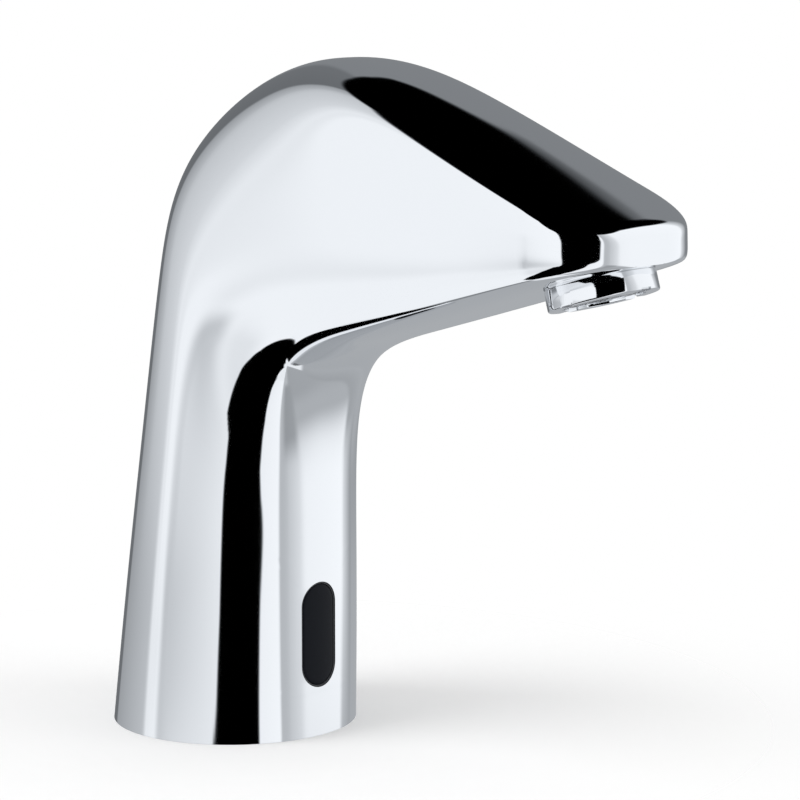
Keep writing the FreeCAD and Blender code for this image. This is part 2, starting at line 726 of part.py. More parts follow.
def pipe_points():
    """The outlet pipe's way: up from the boss, one bend, then up the spout to the nose."""
    bend, start_x = size("pipe_bend"), size("pipe_x")
    end_x = start_x + bend * (1 - math.sin(RISE))
    start_z = MIX.z - (MIX.x - end_x) * math.tan(RISE) - bend * math.cos(RISE)
    turn = (math.pi / 2 - RISE) / 2
    middle = Vector(start_x + bend * (1 - math.cos(turn)), 0, start_z + bend * math.sin(turn))
    end = Vector(end_x, 0, start_z + bend * math.cos(RISE))
    return Vector(start_x, 0, start_z), middle, end


def nose_face():
    """Where the pipe enters the solid nose: the end of the hollow, on the pipe's line."""
    back, front = (CURVES[k].value(size("hollow_end")) for k in (0, 1))
    start, _, end = pipe_points()
    across = front - back
    gap = end - back
    # the pipe's line end + t * NOSE_OUT meets the plane through back and front
    normal = Vector(across.z, 0, -across.x)
    return end - NOSE_OUT * (gap.dot(normal) / NOSE_OUT.dot(normal))


def rod(start, direction, radius, length):
    """A round bar as a plain shape."""
    return Part.makeCylinder(radius, length, start, direction)


def tube_along(edges, radius):
    """A round bar swept along lines and arcs."""
    path = Part.Wire(edges)
    first = edges[0]
    direction = first.tangentAt(first.FirstParameter)
    profile = Part.Wire(Part.makeCircle(radius, first.valueAt(first.FirstParameter), direction))
    return path.makePipeShell([profile], True, False)


def cast_body():
    """The casting: outside less hollow, with lugs, window, foot recess and nose bores."""
    outer = solid("outer_form", outer_form())
    hollow = solid("hollow_form", hollow_form())
    lugs = pillars("lug", LUG_ANGLES, "lug_ring", "lug_radius", "lug_height", PLATE_TOP)
    lugs += pillars("lug_root", LUG_ANGLES, "lug_ring + lug_root", "lug_radius", "lug_height", PLATE_TOP)
    shell = fuse("shell_with_lugs", [cut("raw_shell", outer, [hollow])] + lugs)
    lug_holes = pillars("lug_hole", LUG_ANGLES, "lug_ring", "screw_hole", "lug_depth + 1", PLATE_TOP + " - 1")
    recess = cylinder("foot_recess_tool", "foot_recess", PLATE_TOP + " + 1", z="-1")
    window = obround("window_tool", "window_half", "window_height", "seat_x - 6", "foot_radius + 4")
    seat = block(
        "seat_tool",
        ("seat_x - 6", "-seat_half", "window_z - seat_height"),
        ("seat_x", "seat_half", "window_z + seat_height"),
    )
    bore = in_nose(cylinder("nose_bore_tool", "thread_radius + gap", "nose_bore + 2"), "-2")
    mix = in_nose(cylinder("mix_tool", "mix_radius", "nose_bore + mix_height"))
    entry = nose_face()
    socket = rod(entry - NOSE_OUT * 2, NOSE_OUT, size("pipe_radius") + size("gap"), size("nose_socket") + 2)
    way = rod(entry, NOSE_OUT, size("pipe_bore"), (MIX - entry).Length)
    waterway = solid("waterway_tool", socket.fuse(way))
    return outer, node(cut("body_shell", shell, lug_holes + [recess, window, seat, bore, mix, waterway]))


def window_pieces(outer):
    """The dark lens and the gasket that beds it."""
    lip = "window_half - gap / 2"
    inside = "window_half - gasket_lip"
    tall = "window_height - gasket_lip"
    low = HOUSING_FRONT
    lens = common("lens_face", outer, obround("lens_prism", inside, tall, low, "foot_radius + 4"))
    flange = obround(
        "lens_flange", "window_half + flange_step", "window_height + flange_step", low, low + " + flange_thick"
    )
    node(fuse("sensor_window", [lens, flange]))
    seat = low + " + flange_thick"
    lip_prism = obround("lip_prism", lip, "window_height - gap / 2", seat, "foot_radius + 4")
    lip_face = common("lip_face", outer, lip_prism)
    bed = obround(
        "gasket_bed", "window_half + flange_step", "window_height + flange_step", seat, seat + " + gasket_thick"
    )
    hole = obround("gasket_hole", inside + " + gap / 4", tall + " + gap / 4", seat + " - 1", "foot_radius + 5")
    node(cut("window_gasket", fuse("gasket_solid", [lip_face, bed]), [hole]))


# ---------------------------------------------------------------- foot
def foot_pieces():
    """Deck seal, base plate and the three screws that hold the casting down on it."""
    node(ring("base_seal", "seal_bore", "plate_radius", "0", "seal_thick"))
    plate = cylinder("plate_disc", "plate_radius", "plate_thick", z=PLATE_BOTTOM)
    below = PLATE_BOTTOM + " - 1"
    through = "plate_thick + 2"
    tools = [
        cylinder("plate_valve_hole", "spigot_radius + gap", through, "valve_x", "0", below),
        cylinder("plate_stud_hole", "stud_hole", through, "stud_x", "0", below),
    ]
    tools += pillars("plate_screw_hole", LUG_ANGLES, "lug_ring", "screw_radius + gap", through, below)
    tools += pillars("plate_counterbore", LUG_ANGLES, "lug_ring", "head_recess", "head_height + 1.2", below)
    for side in (-1, 1):
        y = f"{side} * foot_screw_y"
        tools.append(
            cylinder(f"plate_foot_hole_{side + 1}", "foot_screw_radius + gap", through, "foot_screw_x", y, below)
        )
        tools.append(
            cylinder(
                f"plate_foot_recess_{side + 1}",
                "foot_head_radius + gap",
                "foot_head_height + 1.2",
                "foot_screw_x",
                y,
                below,
            )
        )
    node(cut("base_plate", plate, tools))
    screws = []
    for count, angle in enumerate(LUG_ANGLES):
        one = screw(
            f"base_screw_{count}",
            "screw_radius",
            "plate_thick - head_height - 0.2 + screw_grip",
            "head_radius",
            "head_height",
        )
        x, y = around(angle, "lug_ring")
        place(one, x, y, PLATE_BOTTOM + " + 0.2")
        socket = prism(f"base_socket_{count}", "hex_radius", "hex_depth + 1", x, y, PLATE_BOTTOM + " - 0.8")
        screws.append(cut(f"base_screw_cut_{count}", one, [socket]))
    node(fuse("base_screws", screws))


# ---------------------------------------------------------------- sensor
def sensor_pieces():
    """The infrared sensor's housing, cover, board, diodes and bracket, with their screws."""
    wall = "housing_wall"
    outer = block(
        "housing_block",
        (HOUSING_BACK, "-housing_half", HOUSING_BOTTOM),
        (HOUSING_FRONT, "housing_half", HOUSING_TOP),
    )
    inner = block(
        "housing_room",
        (HOUSING_BACK + " - 1", f"-housing_half + {wall}", HOUSING_BOTTOM + f" + {wall}"),
        (HOUSING_FRONT + f" - {wall}", f"housing_half - {wall}", HOUSING_TOP + f" - {wall}"),
    )
    sides = (-1, 1)
    eyes = [
        cylinder(
            f"eye_hole_{side + 1}",
            "diode_radius + gap",
            wall + " + 2",
            HOUSING_FRONT + f" - {wall} - 1",
            "0",
            f"window_z + {side} * diode_spread",
            "x",
        )
        for side in sides
    ]
    light = cylinder("led_hole", "led_radius + gap", wall + " + 2", HOUSING_FRONT + f" - {wall} - 1", "0", "window_z", "x")
    posts = [
        cylinder(f"board_post_{side + 1}", "post_radius", "board_step", HOUSING_BACK, f"{side} * post_y", "window_z", "x")
        for side in sides
    ]
    holes = [
        cylinder(
            f"post_hole_{side + 1}", "small_hole", "board_step + 1", HOUSING_BACK + " - 1", f"{side} * post_y", "window_z", "x"
        )
        for side in sides
    ]
    hollow = cut("housing_hollow", outer, [inner] + eyes + [light])
    node(cut("sensor_housing", fuse("housing_with_posts", [hollow] + posts), holes))

    cover = block(
        "cover_plate",
        (COVER_BACK, "-housing_half", HOUSING_BOTTOM),
        (HOUSING_BACK, "housing_half", HOUSING_TOP),
    )
    cover_holes = [
        cylinder(
            f"cover_hole_{side + 1}",
            "small_radius + gap",
            "cover_thick + 2",
            COVER_BACK + " - 1",
            f"{side} * post_y",
            "window_z",
            "x",
        )
        for side in sides
    ]
    node(cut("sensor_back_cover", cover, cover_holes))

    board_back = HOUSING_BACK + " + board_step"
    board_front = board_back + " + board_thick"
    node(
        block(
            "sensor_circuit_board",
            (board_back, f"-housing_half + {wall} + gap", HOUSING_BOTTOM + f" + {wall} + gap"),
            (board_front, f"housing_half - {wall} - gap", HOUSING_TOP + f" - {wall} - gap"),
        )
    )
    reach = f"({HOUSING_FRONT}) - ({board_front})"
    for label, side in (("ir_receiver", -1), ("ir_emitter", 1)):
        eye = turned(
            label,
            [
                ("0", "0"),
                ("diode_radius", "0"),
                ("diode_radius", f"{reach} - diode_radius / 2"),
                ("diode_radius / 2", reach),
                ("0", reach),
            ],
        )
        eye.Placement = Placement(Vector(), Rotation(Vector(0, 1, 0), 90))
        node(place(eye, board_front, "0", f"window_z + {side} * diode_spread"))
    led = turned(
        "status_led",
        [("0", "0"), ("led_radius", "0"), ("led_radius", reach + " - led_radius"), ("0", reach)],
    )
    led.Placement = Placement(Vector(), Rotation(Vector(0, 1, 0), 90))
    node(place(led, board_front, "0", "window_z"))

    upright = block(
        "bracket_upright",
        (BRACKET_BACK, "-bracket_half", PLATE_TOP),
        (COVER_BACK, "bracket_half", PLATE_TOP + " + bracket_height"),
    )
    foot = block(
        "bracket_sole",
        (BRACKET_BACK, "-bracket_half", PLATE_TOP),
        (BRACKET_BACK + " + bracket_foot", "bracket_half", PLATE_TOP + " + bracket_thick"),
    )
    holes = [
        cylinder(
            f"bracket_hole_{side + 1}",
            "small_radius + gap",
            "bracket_thick + 2",
            BRACKET_BACK + " - 1",
            f"{side} * post_y",
            "window_z",
            "x",
        )
        for side in sides
    ]
    holes += [
        cylinder(
            f"sole_hole_{side + 1}",
            "foot_screw_hole",
            "bracket_thick + 2",
            "foot_screw_x",
            f"{side} * foot_screw_y",
            PLATE_TOP + " - 1",
        )
        for side in sides
    ]
    node(cut("sensor_bracket", fuse("bracket_blank", [upright, foot]), holes))

    shanks = []
    for side in sides:
        one = screw(
            f"sensor_screw_{side + 1}",
            "small_radius",
            "bracket_thick + cover_thick + board_step - 0.3",
            "small_head",
            "small_head_height",
        )
        one.Placement = Placement(Vector(), Rotation(Vector(0, 1, 0), 90))
        shanks.append(place(one, BRACKET_BACK + " - small_head_height", f"{side} * post_y", "window_z"))
    node(fuse("sensor_screws", shanks))

    soles = []
    for side in sides:
        one = screw(
            f"bracket_screw_{side + 1}",
            "foot_screw_radius",
            "plate_thick + bracket_thick - foot_head_height - 0.3",
            "foot_head_radius",
            "foot_head_height",
        )
        soles.append(place(one, "foot_screw_x", f"{side} * foot_screw_y", PLATE_BOTTOM + " + 0.2"))
    node(fuse("bracket_screws", soles))


# ---------------------------------------------------------------- valve
def valve_pieces():
    """Valve body, its clip, and the inlet's adaptor, filter and check valve."""
    top = VALVE_TOP
    bottom = "spigot_rise"
    groove = PLATE_BOTTOM + " - clip_thick"
    shoulder = CHAMBER_TOP + " - neck_height"
    core = turned(
        "valve_core",
        [
            ("chamber_radius", bottom),
            ("spigot_radius", bottom),
            ("spigot_radius", groove),
            ("clip_groove", groove),
            ("clip_groove", PLATE_BOTTOM),
            ("spigot_radius", PLATE_BOTTOM),
            ("spigot_radius", PLATE_TOP),
            ("valve_radius", PLATE_TOP),
            ("valve_radius", top),
            ("moat_radius", top),
            ("moat_radius", top + " - moat_depth"),
            ("seat_radius", top + " - moat_depth"),
            ("seat_radius", top),
            ("seat_bore", top),
            ("seat_bore", WAY_Z),
            ("0", WAY_Z),
            ("0", CHAMBER_TOP),
            ("chamber_neck", CHAMBER_TOP),
            ("chamber_neck", shoulder),
            ("chamber_radius", shoulder),
        ],
        "valve_x",
    )
    bridge = cylinder("valve_bridge", "bridge_radius", "pipe_x - valve_x - spigot_radius", "valve_x + spigot_radius", "0", WAY_Z, "x")
    boss = cylinder("valve_boss", "boss_radius", "boss_height", "pipe_x", "0", SOCKET_TOP + " - boss_height")
    tools = pillars(
        "riser", RISER_ANGLES, "riser_ring", "riser_radius", f"{top} - moat_depth - ({CHAMBER_TOP}) + 1", CHAMBER_TOP + " - 0.5", "valve_x"
    )
    tools += [
        cylinder("valve_way", "way_radius", "pipe_x - valve_x", "valve_x", "0", WAY_Z, "x"),
        cylinder("pipe_socket", "pipe_radius + gap", "socket_depth + 1", "pipe_x", "0", SOCKET_TOP + " - socket_depth"),
        cylinder("pipe_way", "pipe_bore", f"{SOCKET_TOP} - ({WAY_Z})", "pipe_x", "0", WAY_Z),
        cylinder("pipe_seal_room", "seal_radius", "seal_depth + 1", "pipe_x", "0", SOCKET_TOP + " - seal_depth"),
    ]
    tools += pillars(
        "lid_screw_hole", LID_SCREW_ANGLES, "lid_screw_ring", "small_hole", "lid_screw_grip + 2", top + " - lid_screw_grip - 1", "valve_x"
    )
    node(cut("valve_body", fuse("valve_blank", [core, bridge, boss]), tools))

    clip = ring("clip_ring", "clip_groove + gap / 2", "clip_radius", groove, PLATE_BOTTOM, "valve_x")
    mouth = block(
        "clip_mouth",
        ("valve_x - clip_radius - 1", "-clip_slot / 2", groove + " - 1"),
        ("valve_x", "clip_slot / 2", PLATE_BOTTOM + " + 1"),
    )
    node(cut("valve_clip", clip, [mouth]))

    adaptor_top = bottom + " + adaptor_height"
    node(ring("inlet_adaptor", "inlet_radius", "chamber_radius - gap", bottom, adaptor_top, "valve_x"))
    rim = adaptor_top + " + rim_thick"
    cup = rim + " + mesh_height"
    node(
        turned(
            "inlet_filter",
            [
                ("mesh_radius - mesh_wall", adaptor_top),
                ("chamber_radius - gap", adaptor_top),
                ("chamber_radius - gap", rim),
                ("mesh_radius", rim),
                ("mesh_radius", cup),
                ("0", cup),
                ("0", cup + " - mesh_wall"),
                ("mesh_radius - mesh_wall", cup + " - mesh_wall"),
            ],
            "valve_x",
        )
    )
    floor = rim + " + skirt_height"
    seat = floor + " + check_floor"
    crest = seat + " + check_rise"
    groove_bottom = seat + " + 1.2"
    node(
        turned(
            "check_valve_cage",
            [
                ("skirt_bore", rim),
                ("chamber_radius - gap", rim),
                ("chamber_radius - gap", groove_bottom),
                ("chamber_radius - ring_section", groove_bottom),
                ("chamber_radius - ring_section", groove_bottom + " + 2 * ring_section"),
                ("chamber_radius - gap", groove_bottom + " + 2 * ring_section"),
                ("chamber_radius - gap", crest),
                ("check_bore", crest),
                ("check_bore", seat),
                ("check_port", seat),
                ("check_port", floor),
                ("skirt_bore", floor),
            ],
            "valve_x",
        )
    )
    node(
        ring(
            "check_valve_seal",
            "chamber_radius - ring_section + 0.02",
            "chamber_radius - 0.02",
            groove_bottom + " + 0.1",
            groove_bottom + " + 2 * ring_section - 0.1",
            "valve_x",
        )
    )
    guide_top = crest + " + guide_thick"
    node(
        turned(
            "check_valve_poppet",
            [
                ("0", seat),
                ("poppet_radius", seat),
                ("poppet_radius", seat + " + poppet_thick"),
                ("stem_radius", seat + " + poppet_thick"),
                ("stem_radius", guide_top + " + stem_reach"),
                ("0", guide_top + " + stem_reach"),
            ],
            "valve_x",
        )
    )
    disc = ring("guide_disc", "stem_radius + stem_play", "chamber_radius - gap", crest, guide_top, "valve_x")
    ports = pillars("guide_port", GUIDE_ANGLES, "guide_ring", "guide_port", "guide_thick + 2", crest + " - 1", "valve_x")
    node(cut("check_valve_guide", disc, ports))
    node(
        ring(
            "check_valve_spring",
            "stem_radius + 0.3",
            "stem_radius + 0.9",
            seat + " + poppet_thick",
            crest,
            "valve_x",
        )
    )


def pilot_pieces():
    """Diaphragm, stiffener, valve cover and its four screws."""
    seat = VALVE_TOP
    rubber_top = seat + " + diaphragm_thick"
    node(ring("diaphragm", "insert_stem + gap / 4", "diaphragm_radius", seat, rubber_top, "valve_x"))
    node(
        turned(
            "diaphragm_insert",
            [
                ("bleed_radius", seat + " - insert_tail"),
                ("insert_stem", seat + " - insert_tail"),
                ("insert_stem", rubber_top),
                ("insert_radius", rubber_top),
                ("insert_radius", rubber_top + " + insert_thick"),
                ("bleed_radius", rubber_top + " + insert_thick"),
            ],
            "valve_x",
        )
    )
    roof = rubber_top + " + pilot_height"
    pocket = roof + " + pilot_floor"
    lid = turned(
        "lid_core",
        [
            ("diaphragm_radius + gap", seat),
            ("valve_radius", seat),
            ("valve_radius", LID_TOP),
            ("tube_radius + gap", LID_TOP),
            ("tube_radius + gap", pocket),
            ("pilot_hole", pocket),
            ("pilot_hole", roof),
            ("pilot_radius", roof),
            ("pilot_radius", rubber_top),
            ("diaphragm_radius + gap", rubber_top),
        ],
        "valve_x",
    )
    holes = pillars(
        "lid_hole", LID_SCREW_ANGLES, "lid_screw_ring", "small_radius + gap", "lid_height + 2", seat + " - 1", "valve_x"
    )
    sinks = pillars(
        "lid_sink",
        LID_SCREW_ANGLES,
        "lid_screw_ring",
        "small_head + gap",
        "small_head_height + 1.2",
        LID_TOP + " - small_head_height - 0.2",
        "valve_x",
    )
    node(cut("valve_cover", lid, holes + sinks))
    screws = []
    for count, angle in enumerate(LID_SCREW_ANGLES):
        one = screw(
            f"lid_screw_{count}",
            "small_radius",
            "lid_height - small_head_height - 0.2 + lid_screw_grip - 0.5",
            "small_head",
            "small_head_height",
        )
        one.Placement = Placement(Vector(), Rotation(Vector(1, 0, 0), 180))
        x, y = around(angle, "lid_screw_ring", "valve_x")
        screws.append(place(one, x, y, LID_TOP + " - 0.2"))
    node(fuse("cover_screws", screws))


# ---------------------------------------------------------------- solenoid
def solenoid_pieces():
    """Core tube, plunger with tip and spring, core, coil, frame and nut."""
    pocket = VALVE_TOP + " + diaphragm_thick + pilot_height + pilot_floor"
    plunger_bottom = pocket + " + tip_proud"
    plunger_top = plunger_bottom + " + plunger_length"
    core_bottom = plunger_top + " + plunger_travel + core_gap"
    plunger_radius = "tube_bore - plunger_play"
    node(ring("core_tube", "tube_bore", "tube_radius", pocket, YOKE_TOP, "valve_x"))
    node(
        turned(
            "plunger",
            [
                ("tip_radius + 0.02", plunger_bottom),
                (plunger_radius, plunger_bottom),
                (plunger_radius, plunger_top),
                ("pocket_radius", plunger_top),
                ("pocket_radius", plunger_top + " - plunger_pocket"),
                ("0", plunger_top + " - plunger_pocket"),
                ("0", pocket + " + tip_length"),
                ("tip_radius + 0.02", pocket + " + tip_length"),
            ],
            "valve_x",
        )
    )
    node(cylinder("plunger_tip", "tip_radius", "tip_length", "valve_x", "0", pocket))
    node(
        ring(
            "plunger_spring",
            "pocket_radius - 0.7",
            "pocket_radius - 0.15",
            plunger_top + " - plunger_pocket",
            core_bottom + " + core_pocket",
            "valve_x",
        )
    )
    stud_top = TRAY_TOP + " + nut_height + 0.3"
    node(
        turned(
            "fixed_core",
            [
                ("pocket_radius", core_bottom),
                ("tube_bore - gap / 2", core_bottom),
                ("tube_bore - gap / 2", YOKE_TOP),
                ("core_stud", YOKE_TOP),
                ("core_stud", stud_top),
                ("0", stud_top),
                ("0", core_bottom + " + core_pocket"),
                ("pocket_radius", core_bottom + " + core_pocket"),
            ],
            "valve_x",
        )
    )
    tube = "tube_radius + gap"
    bobbin = turned(
        "bobbin_turning",
        [
            (tube, BOBBIN_BOTTOM),
            ("bobbin_radius", BOBBIN_BOTTOM),
            ("bobbin_radius", BOBBIN_BOTTOM + " + bobbin_wall"),
            (tube + " + bobbin_wall", BOBBIN_BOTTOM + " + bobbin_wall"),
            (tube + " + bobbin_wall", BOBBIN_TOP + " - bobbin_wall"),
            ("bobbin_radius", BOBBIN_TOP + " - bobbin_wall"),
            ("bobbin_radius", BOBBIN_TOP),
            (tube, BOBBIN_TOP),
        ],
        "valve_x",
    )
    block_top = BOBBIN_TOP + " - bobbin_wall"
    terminal = block(
        "coil_terminal",
        ("valve_x + coil_radius", "lead_y - terminal_half", block_top + " - terminal_height"),
        ("lead_x + terminal_half", "lead_y + terminal_half", block_top),
    )
    tab = block(
        "terminal_tab",
        ("valve_x + tube_radius + bobbin_wall", "lead_y - terminal_half", block_top),
        ("lead_x + terminal_half", "lead_y + terminal_half", BOBBIN_TOP),
    )
    node(fuse("coil_bobbin", [bobbin, tab, terminal]))
    node(
        ring(
            "coil_winding",
            tube + " + bobbin_wall",
            "coil_radius",
            BOBBIN_BOTTOM + " + bobbin_wall",
            BOBBIN_TOP + " - bobbin_wall",
            "valve_x",
        )
    )
    strip = "yoke_half - yoke_thick"
    plates = [
        block(
            "yoke_floor",
            ("valve_x - yoke_depth", "-yoke_half", LID_TOP),
            ("valve_x + yoke_depth", "yoke_half", BOBBIN_BOTTOM),
        ),
        block(
            "yoke_roof",
            ("valve_x - yoke_depth", "-yoke_half", BOBBIN_TOP),
            ("valve_x + yoke_depth", "yoke_half", YOKE_TOP),
        ),
    ]
    for side, low, high in (("left", strip, "yoke_half"), ("right", "-yoke_half", f"-({strip})")):
        plates.append(
            block(
                "yoke_" + side,
                ("valve_x - yoke_depth", low, LID_TOP),
                ("valve_x + yoke_depth", high, YOKE_TOP),
            )
        )
    hole = cylinder("yoke_hole", "tube_radius + gap", "bobbin_height + 2 * yoke_thick + 2", "valve_x", "0", LID_TOP + " - 1")
    node(cut("solenoid_yoke", fuse("yoke_blank", plates), [hole]))
    nut = prism("nut_blank", "nut_radius", "nut_height", "valve_x", "0", TRAY_TOP)
    node(cut("core_nut", nut, [cylinder("nut_hole", "core_stud + gap / 2", "nut_height + 2", "valve_x", "0", TRAY_TOP + " - 1")]))


# ---------------------------------------------------------------- battery
def battery_pieces():
    """Bracket on the solenoid, a double-barrelled holder, two cells, contacts and a cap."""
    sides = (("left", 1), ("right", -1))
    tray = block(
        "tray_plate",
        ("valve_x - tray_back", "-tray_half", YOKE_TOP),
        ("valve_x + tray_front", "tray_half", TRAY_TOP),
    )
    below = YOKE_TOP + " - 1"
    holes = [cylinder("tray_hole", "core_stud + gap", "tray_thick + 2", "valve_x", "0", below)]
    for name, side in sides:
        holes.append(
            cylinder("tray_hole_" + name, "small_radius + gap", "tray_thick + 2", "cell_x", f"{side} * foot_y", below)
        )
    node(cut("battery_bracket", tray, holes))

    bore = "cell_radius + cell_play"
    skin = bore + " + holder_wall"
    length = f"{CELL_TOP} - ({HOLDER_BOTTOM})"
    floor = HOLDER_BOTTOM + " + holder_wall"
    solids = []
    rooms = []
    for name, side in sides:
        y = f"{side} * cell_y"
        foot_y = f"{side} * foot_y"
        solids.append(cylinder("barrel_" + name, skin, length, "cell_x", y, HOLDER_BOTTOM))
        solids.append(cylinder("holder_foot_" + name, "foot_post", "foot_height", "cell_x", foot_y, TRAY_TOP))
        rooms.append(cylinder("room_" + name, bore, "cell_length + contact_thick + 1", "cell_x", y, floor))
        rooms.append(
            cylinder("foot_hole_" + name, "small_hole", "foot_height", "cell_x", foot_y, TRAY_TOP + " - 0.2")
        )
    for name, side in (("front", 1), ("back", -1)):
        x = f"cell_x + {side} * cap_post_x"
        solids.append(cylinder("cap_post_" + name, "cap_post", length, x, "0", HOLDER_BOTTOM))
        rooms.append(
            cylinder(
                "cap_hole_" + name, "small_hole", "cap_screw_grip + 2", x, "0", CELL_TOP + " - cap_screw_grip - 1"
            )
        )
    rooms.append(
        block(
            "link_room",
            ("cell_x - link_half - gap", "-cell_y", CELL_TOP + " - contact_thick - gap"),
            ("cell_x + link_half + gap", "cell_y", CELL_TOP + " + 1"),
        )
    )
    node(cut("battery_holder", fuse("holder_blank", solids), rooms))

    knob = CELL_TOP + " - contact_thick"
    floor_pads = []
    roof_pads = []
    caps = []
    for name, side in sides:
        y = f"{side} * cell_y"
        node(
            turned(
                "battery_cell_" + name,
                [
                    ("0", CELL_BOTTOM),
                    ("cell_radius", CELL_BOTTOM),
                    ("cell_radius", knob + " - 1"),
                    ("cell_radius / 3", knob + " - 1"),
                    ("cell_radius / 3", knob),
                    ("0", knob),
                ],
                "cell_x",
                y,
            )
        )
        floor_pads.append(cylinder("floor_pad_" + name, "contact_radius", "contact_thick", "cell_x", y, floor))
        roof_pads.append(cylinder("roof_pad_" + name, "contact_radius", "contact_thick", "cell_x", y, knob))
        caps.append(cylinder("cap_" + name, skin, "cap_thick", "cell_x", y, CELL_TOP))
    roof_pads.append(
        block("roof_link", ("cell_x - link_half", "-cell_y", knob), ("cell_x + link_half", "cell_y", CELL_TOP))
    )
    node(fuse("battery_floor_contacts", floor_pads))
    node(fuse("battery_link", roof_pads))

    cap_holes = []
    cap_screws = []
    for name, side in (("front", 1), ("back", -1)):
        x = f"cell_x + {side} * cap_post_x"
        caps.append(cylinder("cap_ear_" + name, "cap_post", "cap_thick", x, "0", CELL_TOP))
        cap_holes.append(
            cylinder("cap_clear_" + name, "small_radius + gap", "cap_thick + 2", x, "0", CELL_TOP + " - 1")
        )
        one = screw("cap_screw_" + name, "small_radius", "cap_thick + cap_screw_grip - 0.3", "small_head", "small_head_height")
        one.Placement = Placement(Vector(), Rotation(Vector(1, 0, 0), 180))
        cap_screws.append(place(one, x, "0", CELL_TOP + " + cap_thick + small_head_height"))
    node(cut("battery_cap", fuse("cap_blank", caps), cap_holes))
    node(fuse("cap_screws", cap_screws))

    holder_screws = []
    for name, side in sides:
        one = screw("holder_screw_" + name, "small_radius", "tray_thick + foot_height - 0.5", "small_head", "small_head_height")
        holder_screws.append(place(one, "cell_x", f"{side} * foot_y", YOKE_TOP + " - small_head_height"))
    node(fuse("holder_screws", holder_screws))


# ---------------------------------------------------------------- outlet
def outlet_pieces():
    """The pipe up the column and along the spout, with its seal, its nut and the nose ring."""
    start, middle, end = pipe_points()
    foot = Vector(start.x, 0, value(SOCKET_TOP + " - socket_depth"))
    tail = nose_face() + NOSE_OUT * (size("nose_socket") - 0.1)
    edges = [
        Part.LineSegment(foot, start).toShape(),
        Part.Arc(start, middle, end).toShape(),
        Part.LineSegment(end, tail).toShape(),
    ]
    length = sum(edge.Length for edge in edges)
    pipe = tube_along(edges, size("pipe_radius")).cut(tube_along(edges, size("pipe_bore")))
    flat = math.pi * (size("pipe_radius") ** 2 - size("pipe_bore") ** 2) * length
    print(f"outlet pipe {length:.1f} mm, volume {pipe.Volume:.0f} of {flat:.0f}")
    node(solid("outlet_pipe", pipe))
    low = SOCKET_TOP + " - seal_depth"
    node(ring("pipe_seal", "pipe_radius + 0.02", "seal_radius - 0.02", low, low + " + pipe_seal_height", "pipe_x"))
    node(
        turned(
            "pipe_nut",
            [
                ("pipe_radius + gap", low + " + pipe_seal_height"),
                ("seal_radius - gap / 2", low + " + pipe_seal_height"),
                ("seal_radius - gap / 2", SOCKET_TOP),
                ("nut_flange", SOCKET_TOP),
                ("nut_flange", SOCKET_TOP + " + nut_flange_height"),
                ("pipe_radius + gap", SOCKET_TOP + " + nut_flange_height"),
            ],
            "pipe_x",
        )
    )


# ---------------------------------------------------------------- aerator
def hex_grid(rings, pitch):
    """The places of a hexagonal grid of holes round the middle one."""
    return [
        (pitch * (q + r / 2), pitch * r * math.sqrt(3) / 2)
        for q in range(-rings, rings + 1)
        for r in range(-rings, rings + 1)
        if abs(q + r) <= rings
    ]


def plate_with_holes(label, radius, bottom, height, holes, hole_radius):
    """A round plate drilled through at the given places."""
    plate = Part.makeCylinder(radius, height, Vector(0, 0, bottom))
    drills = [Part.makeCylinder(hole_radius, height + 2, Vector(x, y, bottom - 1)) for x, y in holes]
    return solid(label, plate.cut(Part.makeCompound(drills)))


